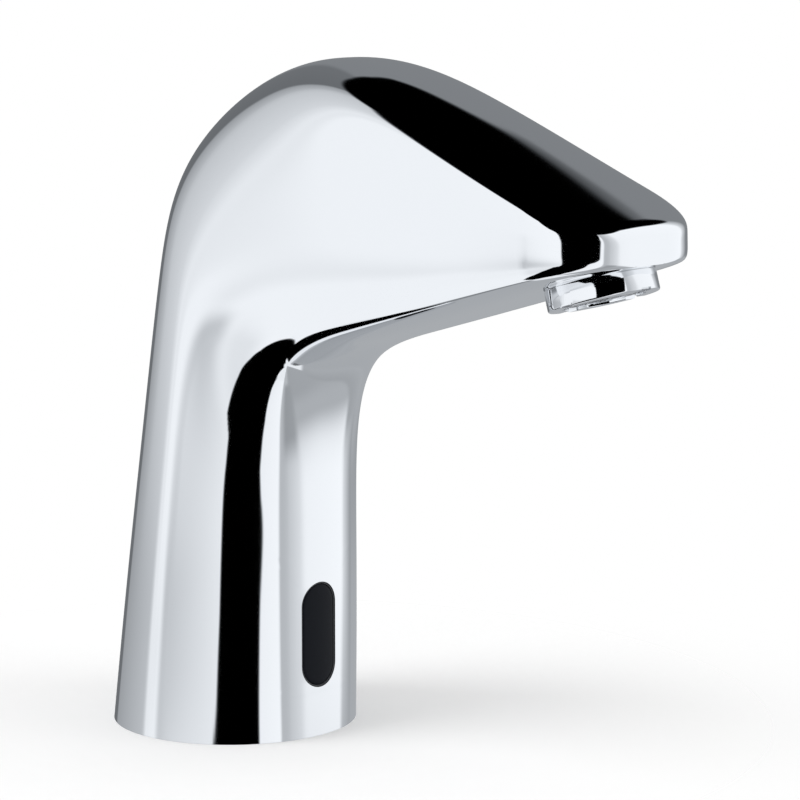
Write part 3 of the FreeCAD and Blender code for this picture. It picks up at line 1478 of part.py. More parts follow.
def aerator_pieces():
    """Housing, washer, strainer, limiter, jet former and screen, stacked up the aerator's axis.

    Heights here run up that axis from the face of the rim.
    """
    seat = "rim_height + thread_length"
    shelf = "lip_height"
    inside = "aerator_bore - gap"
    housing = turned(
        "aerator_turning",
        [
            ("lip_bore", "0"),
            ("aerator_rim - rim_edge", "0"),
            ("aerator_rim", "rim_edge"),
            ("aerator_rim", "rim_height"),
            ("thread_radius", "rim_height"),
            ("thread_radius", seat),
            ("aerator_bore", seat),
            ("aerator_bore", shelf),
            ("lip_bore", shelf),
        ],
    )
    slots = [
        block(
            "key_slot",
            ("-key_width / 2", "-aerator_rim - 1", "-1"),
            ("key_width / 2", "aerator_rim + 1", "key_depth"),
        ),
        block(
            "key_slot_across",
            ("-aerator_rim - 1", "-key_width / 2", "-1"),
            ("aerator_rim + 1", "key_width / 2", "key_depth"),
        ),
    ]
    node(in_nose(cut("aerator_housing", housing, slots), "-rim_height"))

    screen_radius = size("aerator_bore") - size("gap")
    screen = plate_with_holes(
        "outlet_screen",
        screen_radius,
        size("lip_height"),
        size("screen_thick"),
        hex_grid(SCREEN_RINGS, size("screen_pitch")),
        size("screen_hole"),
    )
    node(in_nose(screen, "-rim_height"))

    former = shelf + " + screen_thick"
    plate = former + " + insert_height - insert_plate"
    limiter = former + " + insert_height"
    blank = turned(
        "former_turning",
        [
            ("0", plate),
            (inside + " - insert_wall", plate),
            (inside + " - insert_wall", former),
            (inside, former),
            (inside, limiter),
            ("0", limiter),
        ],
    )
    angles = [360 * k / JETS for k in range(JETS)]
    jets = pillars("jet", angles, "jet_ring", "jet_radius", "insert_plate + 2", plate + " - 1")
    node(in_nose(cut("jet_former", blank, jets), "-rim_height"))

    strainer = limiter + " + limiter_height"
    node(in_nose(ring("flow_limiter", "limiter_bore", inside, limiter, strainer), "-rim_height"))
    crest = strainer + " + strainer_height"
    node(
        in_nose(
            turned(
                "strainer",
                [
                    (inside + " - strainer_rim", strainer),
                    (inside, strainer),
                    (inside, strainer + " + strainer_wall"),
                    (inside + " - strainer_rim + strainer_wall", strainer + " + strainer_wall"),
                    (inside + " - 2 * strainer_rim + strainer_wall", crest),
                    ("0", crest),
                    ("0", crest + " - strainer_wall"),
                    (inside + " - 2 * strainer_rim", crest + " - strainer_wall"),
                ],
            ),
            "-rim_height",
        )
    )
    washer = ring("aerator_washer", "washer_bore", "thread_radius", seat, seat + " + nose_bore - thread_length")
    node(in_nose(washer, "-rim_height"))


# ---------------------------------------------------------------- leads
def lead(label, side, top):
    """A lead out of the sensor's back cover, round one bend and straight up to its terminal."""
    y, z = side * size("lead_y"), size("lead_z")
    x, bend = size("lead_x"), size("lead_bend")
    knee = Vector(x + bend * (1 - math.sqrt(0.5)), y, z + bend * (1 - math.sqrt(0.5)))
    low, high = Vector(x + bend, y, z), Vector(x, y, z + bend)
    edges = [
        Part.LineSegment(Vector(value(COVER_BACK), y, z), low).toShape(),
        Part.Arc(low, knee, high).toShape(),
        Part.LineSegment(high, Vector(x, y, value(top))).toShape(),
    ]
    tube = tube_along(edges, size("lead_radius"))
    length = sum(edge.Length for edge in edges)
    print(f"{label} {length:.1f} mm, volume {tube.Volume:.1f} of {math.pi * size('lead_radius') ** 2 * length:.1f}")
    node(solid(label, tube))


# ---------------------------------------------------------------- assembly
outside, _ = cast_body()
window_pieces(outside)
foot_pieces()
sensor_pieces()
valve_pieces()
pilot_pieces()
solenoid_pieces()
battery_pieces()
outlet_pieces()
aerator_pieces()
lead("solenoid_lead", 1, BOBBIN_TOP + " - bobbin_wall - terminal_height")
lead("battery_lead", -1, HOLDER_BOTTOM)
doc.recompute()

broken = [
    obj.Name
    for obj in doc.Objects
    if {"Invalid", "Error"} & set(obj.State) or (hasattr(obj, "Shape") and obj.Shape.isNull())
]
for obj in NODES:
    if obj.Shape.isNull() or not obj.Shape.isValid() or not obj.Shape.Solids:
        broken.append(obj.Label)
if broken:
    raise RuntimeError("failed: " + ", ".join(broken))

os.makedirs("parts", exist_ok=True)
for obj in NODES:
    obj.Shape.exportStep(f"parts/{obj.Label}.step")
    print(f"{obj.Label}: {len(obj.Shape.Solids)} solid(s), {obj.Shape.Volume:.1f} mm3")
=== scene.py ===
"""Looks of the sensor tap: the chromed casting, its dark window, the aerator and the fittings inside, in a studio.

Shapes are worked out in millimetres, as the CAD's sizes are, and turned to metres when a mesh is made.
"""

from __future__ import annotations

import json
import logging
from dataclasses import dataclass, field
from enum import Enum
from typing import Callable

import bmesh
import bpy
import numpy as np
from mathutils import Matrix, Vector

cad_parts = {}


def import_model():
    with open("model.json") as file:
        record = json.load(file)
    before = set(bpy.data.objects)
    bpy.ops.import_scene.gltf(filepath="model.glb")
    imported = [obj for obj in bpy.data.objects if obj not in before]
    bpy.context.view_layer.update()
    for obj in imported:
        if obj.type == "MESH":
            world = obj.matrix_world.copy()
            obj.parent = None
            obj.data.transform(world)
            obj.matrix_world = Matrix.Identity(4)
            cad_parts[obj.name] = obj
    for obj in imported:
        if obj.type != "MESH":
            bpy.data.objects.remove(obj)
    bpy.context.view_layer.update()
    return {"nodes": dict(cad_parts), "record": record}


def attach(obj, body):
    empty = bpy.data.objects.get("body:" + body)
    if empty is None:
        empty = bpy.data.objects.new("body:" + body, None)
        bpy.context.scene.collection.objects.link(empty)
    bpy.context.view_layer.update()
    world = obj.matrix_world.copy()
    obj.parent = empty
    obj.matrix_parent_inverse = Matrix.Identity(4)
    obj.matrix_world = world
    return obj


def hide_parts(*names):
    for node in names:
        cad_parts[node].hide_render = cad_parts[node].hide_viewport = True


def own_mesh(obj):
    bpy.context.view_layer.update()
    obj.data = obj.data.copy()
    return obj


LOG = logging.getLogger("sensor_tap")
METRES = 0.001
MERGE = 1e-6
SHARP_ANGLE = 32.0
SPLINE_END = 1 - 1e-12
Colour = tuple[float, float, float]
Place = tuple[float, float, float]
Pair = tuple[np.ndarray, np.ndarray]
Block = tuple[int, int, int, int]
Outline = Callable[[np.ndarray], Pair]
Socket = bpy.types.NodeSocket


# ------------------------------------------------------------------ meshes


def new_object(name: str, data: bpy.types.ID) -> bpy.types.Object:
    """Make an object of a mesh, a lamp or a camera and put it in the scene."""
    made = bpy.data.objects.new(name, data)
    bpy.context.scene.collection.objects.link(made)
    return made


class Shell:
    """Grids of points, gathered into one mesh with its seams closed."""

    def __init__(self) -> None:
        """Start with no points and no faces."""
        self.points: list[np.ndarray] = []
        self.quads: list[np.ndarray] = []
        self.count = 0

    def grid(self, points: np.ndarray, keep: np.ndarray | None = None) -> None:
        """Add a grid: each cell between four neighbouring points becomes a face.

        Args:
            points: Rows by columns by three, in millimetres.
            keep: Which cells to keep, or None for all.
        """
        rows, columns = points.shape[:2]
        index = np.arange(rows * columns).reshape(rows, columns) + self.count
        cells = np.stack([index[:-1, :-1], index[1:, :-1], index[1:, 1:], index[:-1, 1:]], axis=-1)
        cells = cells.reshape(-1, 4) if keep is None else cells[keep]
        self.points.append(points.reshape(-1, 3))
        self.quads.append(cells)
        self.count += rows * columns

    def make(self, name: str, outward: bool = True) -> bpy.types.Object:
        """Make the object, in metres, with shared points merged and faces outwards.

        Args:
            name: The piece's name.
            outward: Whether the mesh is closed, so that its faces can be turned outwards.

        Returns:
            The new object, at the origin.
        """
        points = np.concatenate(self.points) * METRES
        quads = np.concatenate(self.quads)
        mesh = bpy.data.meshes.new(name)
        mesh.vertices.add(len(points))
        mesh.vertices.foreach_set("co", points.astype(np.float32).ravel())
        mesh.loops.add(quads.size)
        mesh.loops.foreach_set("vertex_index", quads.astype(np.int32).ravel())
        mesh.polygons.add(len(quads))
        mesh.polygons.foreach_set("loop_start", np.arange(0, quads.size, 4, dtype=np.int32))
        mesh.update(calc_edges=True)
        work = bmesh.new()
        work.from_mesh(mesh)
        bmesh.ops.remove_doubles(work, verts=work.verts, dist=MERGE)
        bmesh.ops.dissolve_degenerate(work, edges=work.edges, dist=MERGE / 10)
        if outward:
            bmesh.ops.recalc_face_normals(work, faces=work.faces)
        work.to_mesh(mesh)
        work.free()
        mesh.shade_smooth()
        mesh.set_sharp_from_angle(angle=np.radians(SHARP_ANGLE))
        return new_object(name, mesh)


def spline(poles: np.ndarray, share: np.ndarray) -> np.ndarray:
    """A clamped cubic B-spline: de Boor's basis, raised one degree at a time, times the poles.

    Args:
        poles: Control points, count by any width.
        share: Places along the spline, from 0 to 1, of any shape.

    Returns:
        The points, of share's shape with the poles' width behind.
    """
    count = len(poles)
    knots = np.concatenate([np.zeros(3), np.linspace(0, 1, count - 2), np.ones(3)])
    place = np.clip(share, 0, SPLINE_END)
    basis = [((knots[i] <= place) & (place < knots[i + 1])).astype(float) for i in range(count + 3)]
    for degree in (1, 2, 3):
        for i in range(count + 3 - degree):
            rise, fall = knots[i + degree] - knots[i], knots[i + degree + 1] - knots[i + 1]
            low = (place - knots[i]) / rise * basis[i] if rise else 0 * place
            high = (knots[i + degree + 1] - place) / fall * basis[i + 1] if fall else 0 * place
            basis[i] = low + high
    return sum(basis[i][..., None] * poles[i] for i in range(count))


def border(top: int, bottom: int, left: int, right: int) -> Pair:
    """Rows and columns of a block's outline in a grid, once round and closed.

    Args:
        top: First row.
        bottom: Last row.
        left: First column.
        right: Last column.

    Returns:
        The rows and the columns, in order round the block.
    """
    down, across = np.arange(top, bottom + 1), np.arange(left, right + 1)
    tall, wide = len(down), len(across)
    rows = np.concatenate([down[:-1], np.full(wide - 1, bottom), down[:0:-1], np.full(wide, top)])
    columns = np.concatenate([np.full(tall - 1, left), across[:-1], np.full(tall - 1, right), across[::-1]])
    return rows, columns


def obround(turn: np.ndarray, half_width: float, half_height: float) -> np.ndarray:
    """Where rays from the middle meet an upright slot with round ends.

    A ray leaves along (half_width cos, half_height sin). It ends on the straight side where it meets that below the
    end's centre, and otherwise on the end's circle, which the quadratic for its length gives.

    Args:
        turn: The rays' angles.
        half_width: Half width, which is the ends' radius.
        half_height: Half height.

    Returns:
        Width and height of each point, from the middle.
    """
    ray = np.stack([half_width * np.cos(turn), half_height * np.sin(turn)], axis=-1)
    straight = half_height - half_width
    size = np.abs(ray)
    side = half_width / np.maximum(size[..., 0], 1e-9)
    a, b = (size**2).sum(-1), size[..., 1] * straight
    end = (b + np.sqrt(np.maximum(b * b - a * (straight**2 - half_width**2), 0))) / a
    return ray * np.where(side * size[..., 1] <= straight, side, end)[..., None]


def ease(low: float, high: float, value: np.ndarray) -> np.ndarray:
    """Rise from 0 at low to 1 at high, by 3t² - 2t³."""
    t = np.clip((value - low) / (high - low), 0, 1)
    return t * t * (3 - 2 * t)


# ------------------------------------------------------------------ casting


@dataclass
class Casting:
    """The chromed casting: foot, column and spout in one, hollow, with the window's slot and the aerator's bore.

    Lengths are in millimetres, lean, fall and rise in degrees, and slot_turn and bore_turn in radians.
    """

    foot: float = 28.5
    reach: float = 124.7
    lean: float = 8.67
    fall: float = 25.0
    rise: float = 16.84
    tip_top: float = 123.9
    tip_bottom: float = 116.05
    tip_corner: float = 15.5
    tip_edge: float = 2.5
    wall: float = 3.0
    hollow_end: float = 0.9
    recess: float = 25.9
    recess_height: float = 8.6
    window_z: float = 23.7
    window_half: tuple[float, float] = (5.4, 12.3)
    seat_x: float = 25.6
    seat_half: float = 8.2
    seat_low: float = 8.6
    seat_high: float = 38.8
    bore: float = 11.5
    bore_depth: float = 8.2
    chamber: float = 7.0
    chamber_depth: float = 3.5
    aerator_x: float = 111.2
    back_z: tuple[float, ...] = (0.0, 32.0, 75.0, 118.0)
    crown: tuple[tuple[float, float], ...] = ((-2.1, 138.8), (35.0, 160.8))
    top_x: tuple[float, ...] = (69.5, 97.5)
    front_z: tuple[float, ...] = (0.0, 22.0, 46.0, 67.1)
    under_x: tuple[float, ...] = (31.9, 56.9, 72.0, 100.0)
    half_widths: tuple[float, ...] = (28.5, 28.05, 26.2, 24.9, 24.3, 24.1, 23.75, 23.0, 21.95)
    front_square: tuple[float, ...] = (2, 2, 2, 2, 3.1, 4.4, 5.4, 6.1, 7)
    back_square: tuple[float, ...] = (2, 2, 2, 2, 2.25, 2.6, 2.75, 2.85, 3)
    around: int = 192
    crowding: float = 0.55
    step: float = 1.5
    samples: int = 4001
    corner_turns: int = 22
    rings: int = 8
    slot_span: tuple[float, float] = (9.4, 41.0)
    slot_turn: float = 0.52
    bore_span: tuple[float, float] = (97.0, 124.0)
    bore_turn: float = 0.66
    low_start: float = 0.1
    low_end: float = 0.3
    halvings: int = 40
    newton_steps: int = 14
    newton_limits: tuple[float, float] = (0.05, 0.3)
    newton_tiny: float = 1e-6
    back: np.ndarray = field(init=False)
    front: np.ndarray = field(init=False)
    girth: np.ndarray = field(init=False)
    mouth: np.ndarray = field(init=False)
    nose_up: np.ndarray = field(init=False)
    nose_out: np.ndarray = field(init=False)

    def __post_init__(self) -> None:
        """Lay out the poles of the back line, the front line and the girth, and the nose's own axes."""
        lean, fall, rise = np.tan(np.radians([self.lean, self.fall, self.rise]))
        back = [(-self.foot + z * lean, z) for z in self.back_z] + list(self.crown)
        back += [(x, self.tip_top + (self.reach - x) * fall) for x in (*self.top_x, self.reach)]
        front = [(self.foot, z) for z in self.front_z]
        front += [(x, self.tip_bottom - (self.reach - x) * rise) for x in (*self.under_x, self.reach)]
        self.back, self.front = np.array(back), np.array(front)
        self.girth = np.stack([self.half_widths, self.front_square, self.back_square], axis=-1)
        tilt = np.radians(self.rise)
        self.mouth = np.array([self.aerator_x, 0, self.tip_bottom - (self.reach - self.aerator_x) * rise])
        self.nose_up = np.array([-np.sin(tilt), 0, np.cos(tilt)])
        self.nose_out = np.array([np.cos(tilt), 0, np.sin(tilt)])

    def inset(self, x: np.ndarray, radius: float) -> np.ndarray:
        """How far a rounded corner at the tip has come in at x: radius less the circle's height there."""
        share = np.clip((x - (self.reach - radius)) / radius, 0, 1)
        return radius * (1 - np.sqrt(1 - share * share))

    def skin(self, share: np.ndarray, turn: np.ndarray, wall: float = 0.0) -> np.ndarray:
        """Points of the skin: a superellipse between the back and the front line, at each place along them.

        With c and s the cosine and sine of the turn, the power p runs from the back's to the front's with c, the
        radius is (|c|^p + |s|^p)^(-1/p), and the point is the middle, plus radius c half a depth along the section,
        plus radius s half a width across it. Inside, both halves are smaller by the wall.

        Args:
            share: Places along the casting, 0 at the foot and 1 at the tip.
            turn: Angles round it, 0 at the back and pi at the front.
            wall: The wall's thickness, or 0 for the outside.

        Returns:
            The points, in millimetres.
        """
        share, turn = np.broadcast_arrays(np.asarray(share, float), np.asarray(turn, float))
        back, front, girth = spline(self.back, share), spline(self.front, share), spline(self.girth, share)
        width = girth[..., 0] - wall
        if not wall:
            back = back - np.stack([0 * share, self.inset(back[..., 0], self.tip_edge)], axis=-1)
            width = width - self.inset((back[..., 0] + front[..., 0]) / 2, self.tip_corner)
        middle, across = (back + front) / 2, back - front
        depth = np.linalg.norm(across, axis=-1)
        across = across / depth[..., None]
        c, s = np.cos(turn), np.sin(turn)
        power = (girth[..., 2] + girth[..., 1]) / 2 + (girth[..., 2] - girth[..., 1]) / 2 * c
        radius = (np.abs(c) ** power + np.abs(s) ** power) ** (-1 / power)
        flat = middle + across * (radius * c * (depth / 2 - wall))[..., None]
        return np.stack([flat[..., 0], radius * s * width, flat[..., 1]], axis=-1)

    def locate(
        self, wanted: np.ndarray, look: Callable[[np.ndarray], np.ndarray], start: float, wall: float = 0.0
    ) -> Pair:
        """Find where the front skin has two wanted coordinates, by Newton's steps with small differences.

        Args:
            wanted: Pairs of coordinates.
            look: Gives that pair for points of the skin.
            start: Where to start along the casting.
            wall: The wall's thickness, or 0 for the outside.

        Returns:
            The places along the casting and the turns round it.
        """
        place, turn = np.full(wanted.shape[:-1], start), np.full(wanted.shape[:-1], np.pi)
        tiny, (furthest, widest) = self.newton_tiny, self.newton_limits
        for _ in range(self.newton_steps):
            here = look(self.skin(place, turn, wall))
            along = (look(self.skin(place + tiny, turn, wall)) - here) / tiny
            round_it = (look(self.skin(place, turn + tiny, wall)) - here) / tiny
            miss = wanted - here
            size = along[..., 0] * round_it[..., 1] - along[..., 1] * round_it[..., 0]
            move = (miss[..., 0] * round_it[..., 1] - miss[..., 1] * round_it[..., 0]) / size
            swing = (along[..., 0] * miss[..., 1] - along[..., 1] * miss[..., 0]) / size
            place = place + np.clip(move, -furthest, furthest)
            turn = turn + np.clip(swing, -widest, widest)
        return place, turn

    def column_places(self, wanted: np.ndarray, wall: float = 0.0) -> Pair:
        """Where the column's front has these widths and heights."""
        return self.locate(wanted, lambda point: point[..., 1:], self.low_start, wall)

    def slot_outline(self, angle: np.ndarray, wall: float = 0.0) -> Pair:
        """Where the window's slot cuts the column's front or, with a wall, the hollow's skin behind it."""
        return self.column_places(obround(angle, *self.window_half) + [0, self.window_z], wall)

    def bore_outline(self, angle: np.ndarray, start: float) -> Pair:
        """Where the aerator's bore cuts the spout's underside.

        Args:
            angle: Angles round the bore.
            start: A place along the casting that is near the bore.

        Returns:
            The places along the casting and the turns round it.
        """

        def look(point: np.ndarray) -> np.ndarray:
            """Across and out, in the nose's frame."""
            return np.stack([point[..., 1], (point - self.mouth) @ self.nose_out], axis=-1)

        return self.locate(self.bore * np.stack([np.cos(angle), np.sin(angle)], axis=-1), look, start)

    def nose(self, out: np.ndarray, side: np.ndarray, up: np.ndarray) -> np.ndarray:
        """Points in the nose's frame: the mouth plus out, side and up along its axes."""
        out, side, up = np.broadcast_arrays(out, side, up)
        flat = self.mouth + out[..., None] * self.nose_out + side[..., None] * np.array([0.0, 1.0, 0.0])
        return flat + up[..., None] * self.nose_up

    def shares(self) -> np.ndarray:
        """Places of the rows: even steps along the back line, then even turns of the tip's rounded corner.

        Returns:
            The places, which rise from 0 to 1.
        """
        fine, spout = np.linspace(0, 1, self.samples), slice(self.samples // 2, None)
        line = spline(self.back, fine)
        middle = (line[:, 0] + spline(self.front, fine)[:, 0]) / 2
        length = np.concatenate([[0], np.cumsum(np.linalg.norm(np.diff(line, axis=0), axis=-1))])
        start = np.interp(self.reach - self.tip_corner, middle[spout], fine[spout])
        total = np.interp(start, fine, length)
        even = np.interp(np.linspace(0, total, int(total / self.step)), length, fine)
        turns = np.radians(np.linspace(0, 90, self.corner_turns + 1))[1:]
        x = self.reach - self.tip_corner * (1 - np.sin(turns))
        return np.concatenate([even, np.interp(x[:-1], middle[spout], fine[spout]), [1.0]])

    def block(self, along: np.ndarray, span: tuple[float, float], half_turn: float, turns: np.ndarray) -> Block:
        """The grid's block that a hole lies in.

        Args:
            along: The front line's x or z at each row, whichever rises there.
            span: Where the block begins and ends in it.
            half_turn: How far the block goes round to each side of the front.
            turns: The columns' turns.

        Returns:
            First and last row, first and last column.
        """
        first, last = np.searchsorted(along, span)
        columns = np.flatnonzero(np.abs(turns - np.pi) <= half_turn)
        return int(first), int(last), int(columns[0]), int(columns[-1])

    def holed(
        self,
        shell: Shell,
        share: np.ndarray,
        turn: np.ndarray,
        wall: float,
        holes: list[tuple[Block, Outline]],
        mend: Callable[[np.ndarray], np.ndarray],
    ) -> list[np.ndarray]:
        """Add a skin with holes: each hole's block is left out and filled by rings that shrink on to its outline.

        The rings blend the places of the block's border with those of the hole's outline, in even parts.

        Args:
            shell: Takes the skin.
            share: Places along the casting, rows by columns.
            turn: Turns round it, rows by columns.
            wall: The wall's thickness, or 0 for the outside.
            holes: Each hole's block, and what gives its outline's places from angles round it.
            mend: A last change to the points.

        Returns:
            Each hole's outline, as points.
        """
        points = mend(self.skin(share, turn, wall))
        keep = np.ones((points.shape[0] - 1, points.shape[1] - 1), bool)
        blend = np.linspace(0, 1, self.rings + 1)[:, None]
        outlines = []
        for (top, bottom, left, right), outline in holes:
            keep[top:bottom, left:right] = False
            rows, columns = border(top, bottom, left, right)
            height = (rows - (top + bottom) / 2) / ((bottom - top) / 2)
            width = ((left + right) / 2 - columns) / ((right - left) / 2)
            place, swing = outline(np.arctan2(height, width))
            places = share[rows, columns] * (1 - blend) + place * blend
            ring = mend(self.skin(places, turn[rows, columns] * (1 - blend) + swing * blend, wall))
            shell.grid(ring)
            outlines.append(ring[-1])
        shell.grid(points, keep)
        return outlines

    def seat(self, points: np.ndarray) -> np.ndarray:
        """Press the window's flat seat into the hollow's skin: x becomes the seat's where the seat lies.

        Args:
            points: Points of the hollow's skin.

        Returns:
            The points, with those on the seat moved.
        """
        x, y, z = np.moveaxis(points, -1, 0)
        inside = (np.abs(y) <= self.seat_half) & (z >= self.seat_low) & (z <= self.seat_high) & (x > 0)
        return np.stack([np.where(inside, self.seat_x, x), y, z], axis=-1)

    def recess_places(self, turns: np.ndarray) -> np.ndarray:
        """Where the hollow's skin is at the recess's height, by halving the span again and again.

        Args:
            turns: The columns' turns.

        Returns:
            The place along the casting at each turn.
        """
        low, high = np.zeros_like(turns), np.full_like(turns, self.low_end)
        for _ in range(self.halvings):
            middle = (low + high) / 2
            under = self.skin(middle, turns, self.wall)[:, 2] < self.recess_height
            low, high = np.where(under, middle, low), np.where(under, high, middle)
        return high

    def add_cap(self, shell: Shell, edge: np.ndarray) -> None:
        """Close an outline by rings that shrink evenly to its middle.

        Args:
            shell: Takes the cap.
            edge: The outline's points.
        """
        middle = edge.mean(axis=0)
        scale = np.linspace(1, 0, self.rings + 1)[:, None, None]
        shell.grid(middle + (edge[None] - middle) * scale)

    def add_bore(self, shell: Shell, edge: np.ndarray) -> None:
        """The aerator's bore and the mixing chamber above it: circles at their heights, then a closed roof.

        Args:
            shell: Takes the bore.
            edge: The bore's outline on the spout's underside.
        """
        angle = np.arctan2(edge[:, 1], (edge - self.mouth) @ self.nose_out)
        top = self.bore_depth + self.chamber_depth
        steps = [(self.bore, self.bore_depth / 2), (self.bore, self.bore_depth), (self.chamber, self.bore_depth)]
        steps += [(self.chamber, top), (self.chamber / 2, top), (0.0, top)]
        rings = [self.nose(radius * np.cos(angle), radius * np.sin(angle), height) for radius, height in steps]
        shell.grid(np.stack([edge, *rings]))

    def add_hollow(
        self, shell: Shell, rows: np.ndarray, turns: np.ndarray, low: np.ndarray, window: Block
    ) -> np.ndarray:
        """The hollow's skin, from the recess to the hollow's end, with the window's seat and slot in it.

        Args:
            shell: Takes the skin.
            rows: Places of the outside's rows.
            turns: The columns' turns.
            low: Places of the hollow's lowest row.
            window: The window's block in the outside's grid.

        Returns:
            The slot's outline on the seat.
        """
        top, bottom, left, right = window
        hollow = np.append(rows[top : np.searchsorted(rows, self.hollow_end)], self.hollow_end)
        share = np.concatenate([low[None, :], np.repeat(hollow[:, None], len(turns), axis=1)])
        turn = np.repeat(turns[None, :], len(share), axis=0)
        slot = ((1, bottom - top + 1, left, right), lambda angle: self.slot_outline(angle, self.wall))
        return self.holed(shell, share, turn, self.wall, [slot], self.seat)[0]

    def add_foot(self, shell: Shell, turns: np.ndarray, ledge: np.ndarray) -> None:
        """The foot's rim, the recess's wall and the ledge that leads to the hollow.

        Args:
            shell: Takes the foot.
            turns: The columns' turns.
            ledge: The hollow's lowest row of points.
        """
        circle = np.stack([-np.cos(turns), np.sin(turns), 0 * turns], axis=-1)
        up = np.array([0, 0, self.recess_height])
        rings = [circle * self.foot, circle * (self.foot + self.recess) / 2, circle * self.recess]
        rings += [circle * self.recess + up / 2, circle * self.recess + up, ledge]
        shell.grid(np.stack(rings))

    def build(self) -> bpy.types.Object:
        """Build the casting: the outside, the tip's face, the bore, the hollow, the slot's sides and the foot.

        The columns crowd towards the four corners of the spout's section: turn + crowding sin(4 turn) / 4.

        Returns:
            The casting.
        """
        shell = Shell()
        even = np.linspace(0, 2 * np.pi, self.around + 1)
        turns = even + self.crowding * np.sin(4 * even) / 4
        rows = self.shares()
        share, turn = np.meshgrid(rows, turns, indexing="ij")
        front_x, front_z = spline(self.front, rows).T
        start = float(np.interp(self.aerator_x, front_x, rows))
        window = self.block(front_z, self.slot_span, self.slot_turn, turns)
        nose = self.block(front_x, self.bore_span, self.bore_turn, turns)
        holes = [(window, self.slot_outline), (nose, lambda angle: self.bore_outline(angle, start))]
        slot_edge, bore_edge = self.holed(shell, share, turn, 0.0, holes, lambda points: points)
        self.add_cap(shell, self.skin(np.ones_like(turns), turns))
        self.add_bore(shell, bore_edge)
        low = self.recess_places(turns)
        seat_edge = self.add_hollow(shell, rows, turns, low, window)
        shell.grid(np.stack([slot_edge, (slot_edge + seat_edge) / 2, seat_edge]))
        self.add_cap(shell, self.skin(np.full_like(turns, self.hollow_end), turns, self.wall))
        self.add_foot(shell, turns, self.seat(self.skin(low, turns, self.wall)))
        return shell.make("casting")

    def dress(self, painter: Painter) -> None:
        """Build the casting, plate it and put it on the tap."""
        painter.put(self.build(), "chrome", CHROME, "body_shell")


# ------------------------------------------------------------------ window


@dataclass
class SensorWindow:
    """The infrared window, which follows the column's front, and the gasket round it, in millimetres."""

    casting: Casting
    lens: float = 4.9
    lens_depth: float = 0.22
    lens_edge: float = 0.35
    edge_parts: tuple[float, ...] = (0.35, 0.7, 0.9, 1.0)
    flange: float = 7.2
    flange_back: float = 24.2
    flange_front: float = 25.0
    back_shares: tuple[float, ...] = (0.66, 0.33, 0.0)
    lip_in: float = 4.925
    lip_out: float = 5.35
    lip_depth: float = 0.12
    lip_parts: tuple[float, ...] = (1.0, 0.8, 0.45, 0.0, -0.45, -0.8, -1.0)
    around: int = 120
    rings: int = 14

    def ring(self, half: float, x: float | None = None, depth: float = 0.0, share: float = 1.0) -> np.ndarray:
        """One upright ring of the slot's shape.

        Args:
            half: Its half width.
            x: Where it stands, or None to follow the column's front.
            depth: How far it lies behind that front.
            share: How large a copy of the shape it is.

        Returns:
            The ring's points.
        """
        angle = np.linspace(0, 2 * np.pi, self.around + 1)
        width, height = self.casting.window_half
        flat = obround(angle, half, half + height - width) * share + [0, self.casting.window_z]
        if x is None:
            front = self.casting.skin(*self.casting.column_places(flat))[..., 0] - depth
        else:
            front = np.full(len(angle), x)
        return np.stack([front, flat[:, 0], flat[:, 1]], axis=-1)

    def build_pane(self) -> bpy.types.Object:
        """Build the window: the curved pane, its rounded edge, the flange behind it and the flat back.

        Returns:
            The window.
        """
        inner = self.lens - self.lens_edge
        rings = [self.ring(inner, depth=self.lens_depth, share=share) for share in np.linspace(0, 1, self.rings)]
        for part in self.edge_parts:
            drop = self.lens_edge * (1 - np.sqrt(1 - part * part))
            rings.append(self.ring(inner + self.lens_edge * part, depth=self.lens_depth + drop))
        rings += [self.ring(self.lens, x=self.flange_front), self.ring(self.flange, x=self.flange_front)]
        rings += [self.ring(self.flange, x=self.flange_back), self.ring(self.lens, x=self.flange_back)]
        back = rings[-1]
        middle = back.mean(axis=0)
        rings += [middle + (back - middle) * share for share in self.back_shares]
        shell = Shell()
        shell.grid(np.stack(rings))
        return shell.make("infrared_window")

    def build_gasket(self) -> bpy.types.Object:
        """Build the gasket: a flat bed under the flange and a lip round the pane, with a half round crest.

        Returns:
            The gasket.
        """
        bed, seat = self.flange_front, self.casting.seat_x
        middle, crest = (self.lip_in + self.lip_out) / 2, (self.lip_out - self.lip_in) / 2
        rings = [self.ring(self.flange, x=bed), self.ring(self.flange, x=seat), self.ring(self.lip_out, x=seat)]
        for part in self.lip_parts:
            drop = crest * (1 - np.sqrt(1 - part * part))
            rings.append(self.ring(middle + crest * part, depth=self.lip_depth + drop))
        rings += [self.ring(self.lip_in, x=bed), self.ring(self.flange, x=bed)]
        shell = Shell()
        shell.grid(np.stack(rings))
        return shell.make("window_seal")

    def dress(self, painter: Painter) -> None:
        """Build the window and its gasket, give each its finish and put them on the tap."""
        painter.put(self.build_pane(), "dark_window", GLASS, "sensor_window")
        painter.put(self.build_gasket(), "rubber", GASKET, "window_gasket")


# ------------------------------------------------------------------ aerator


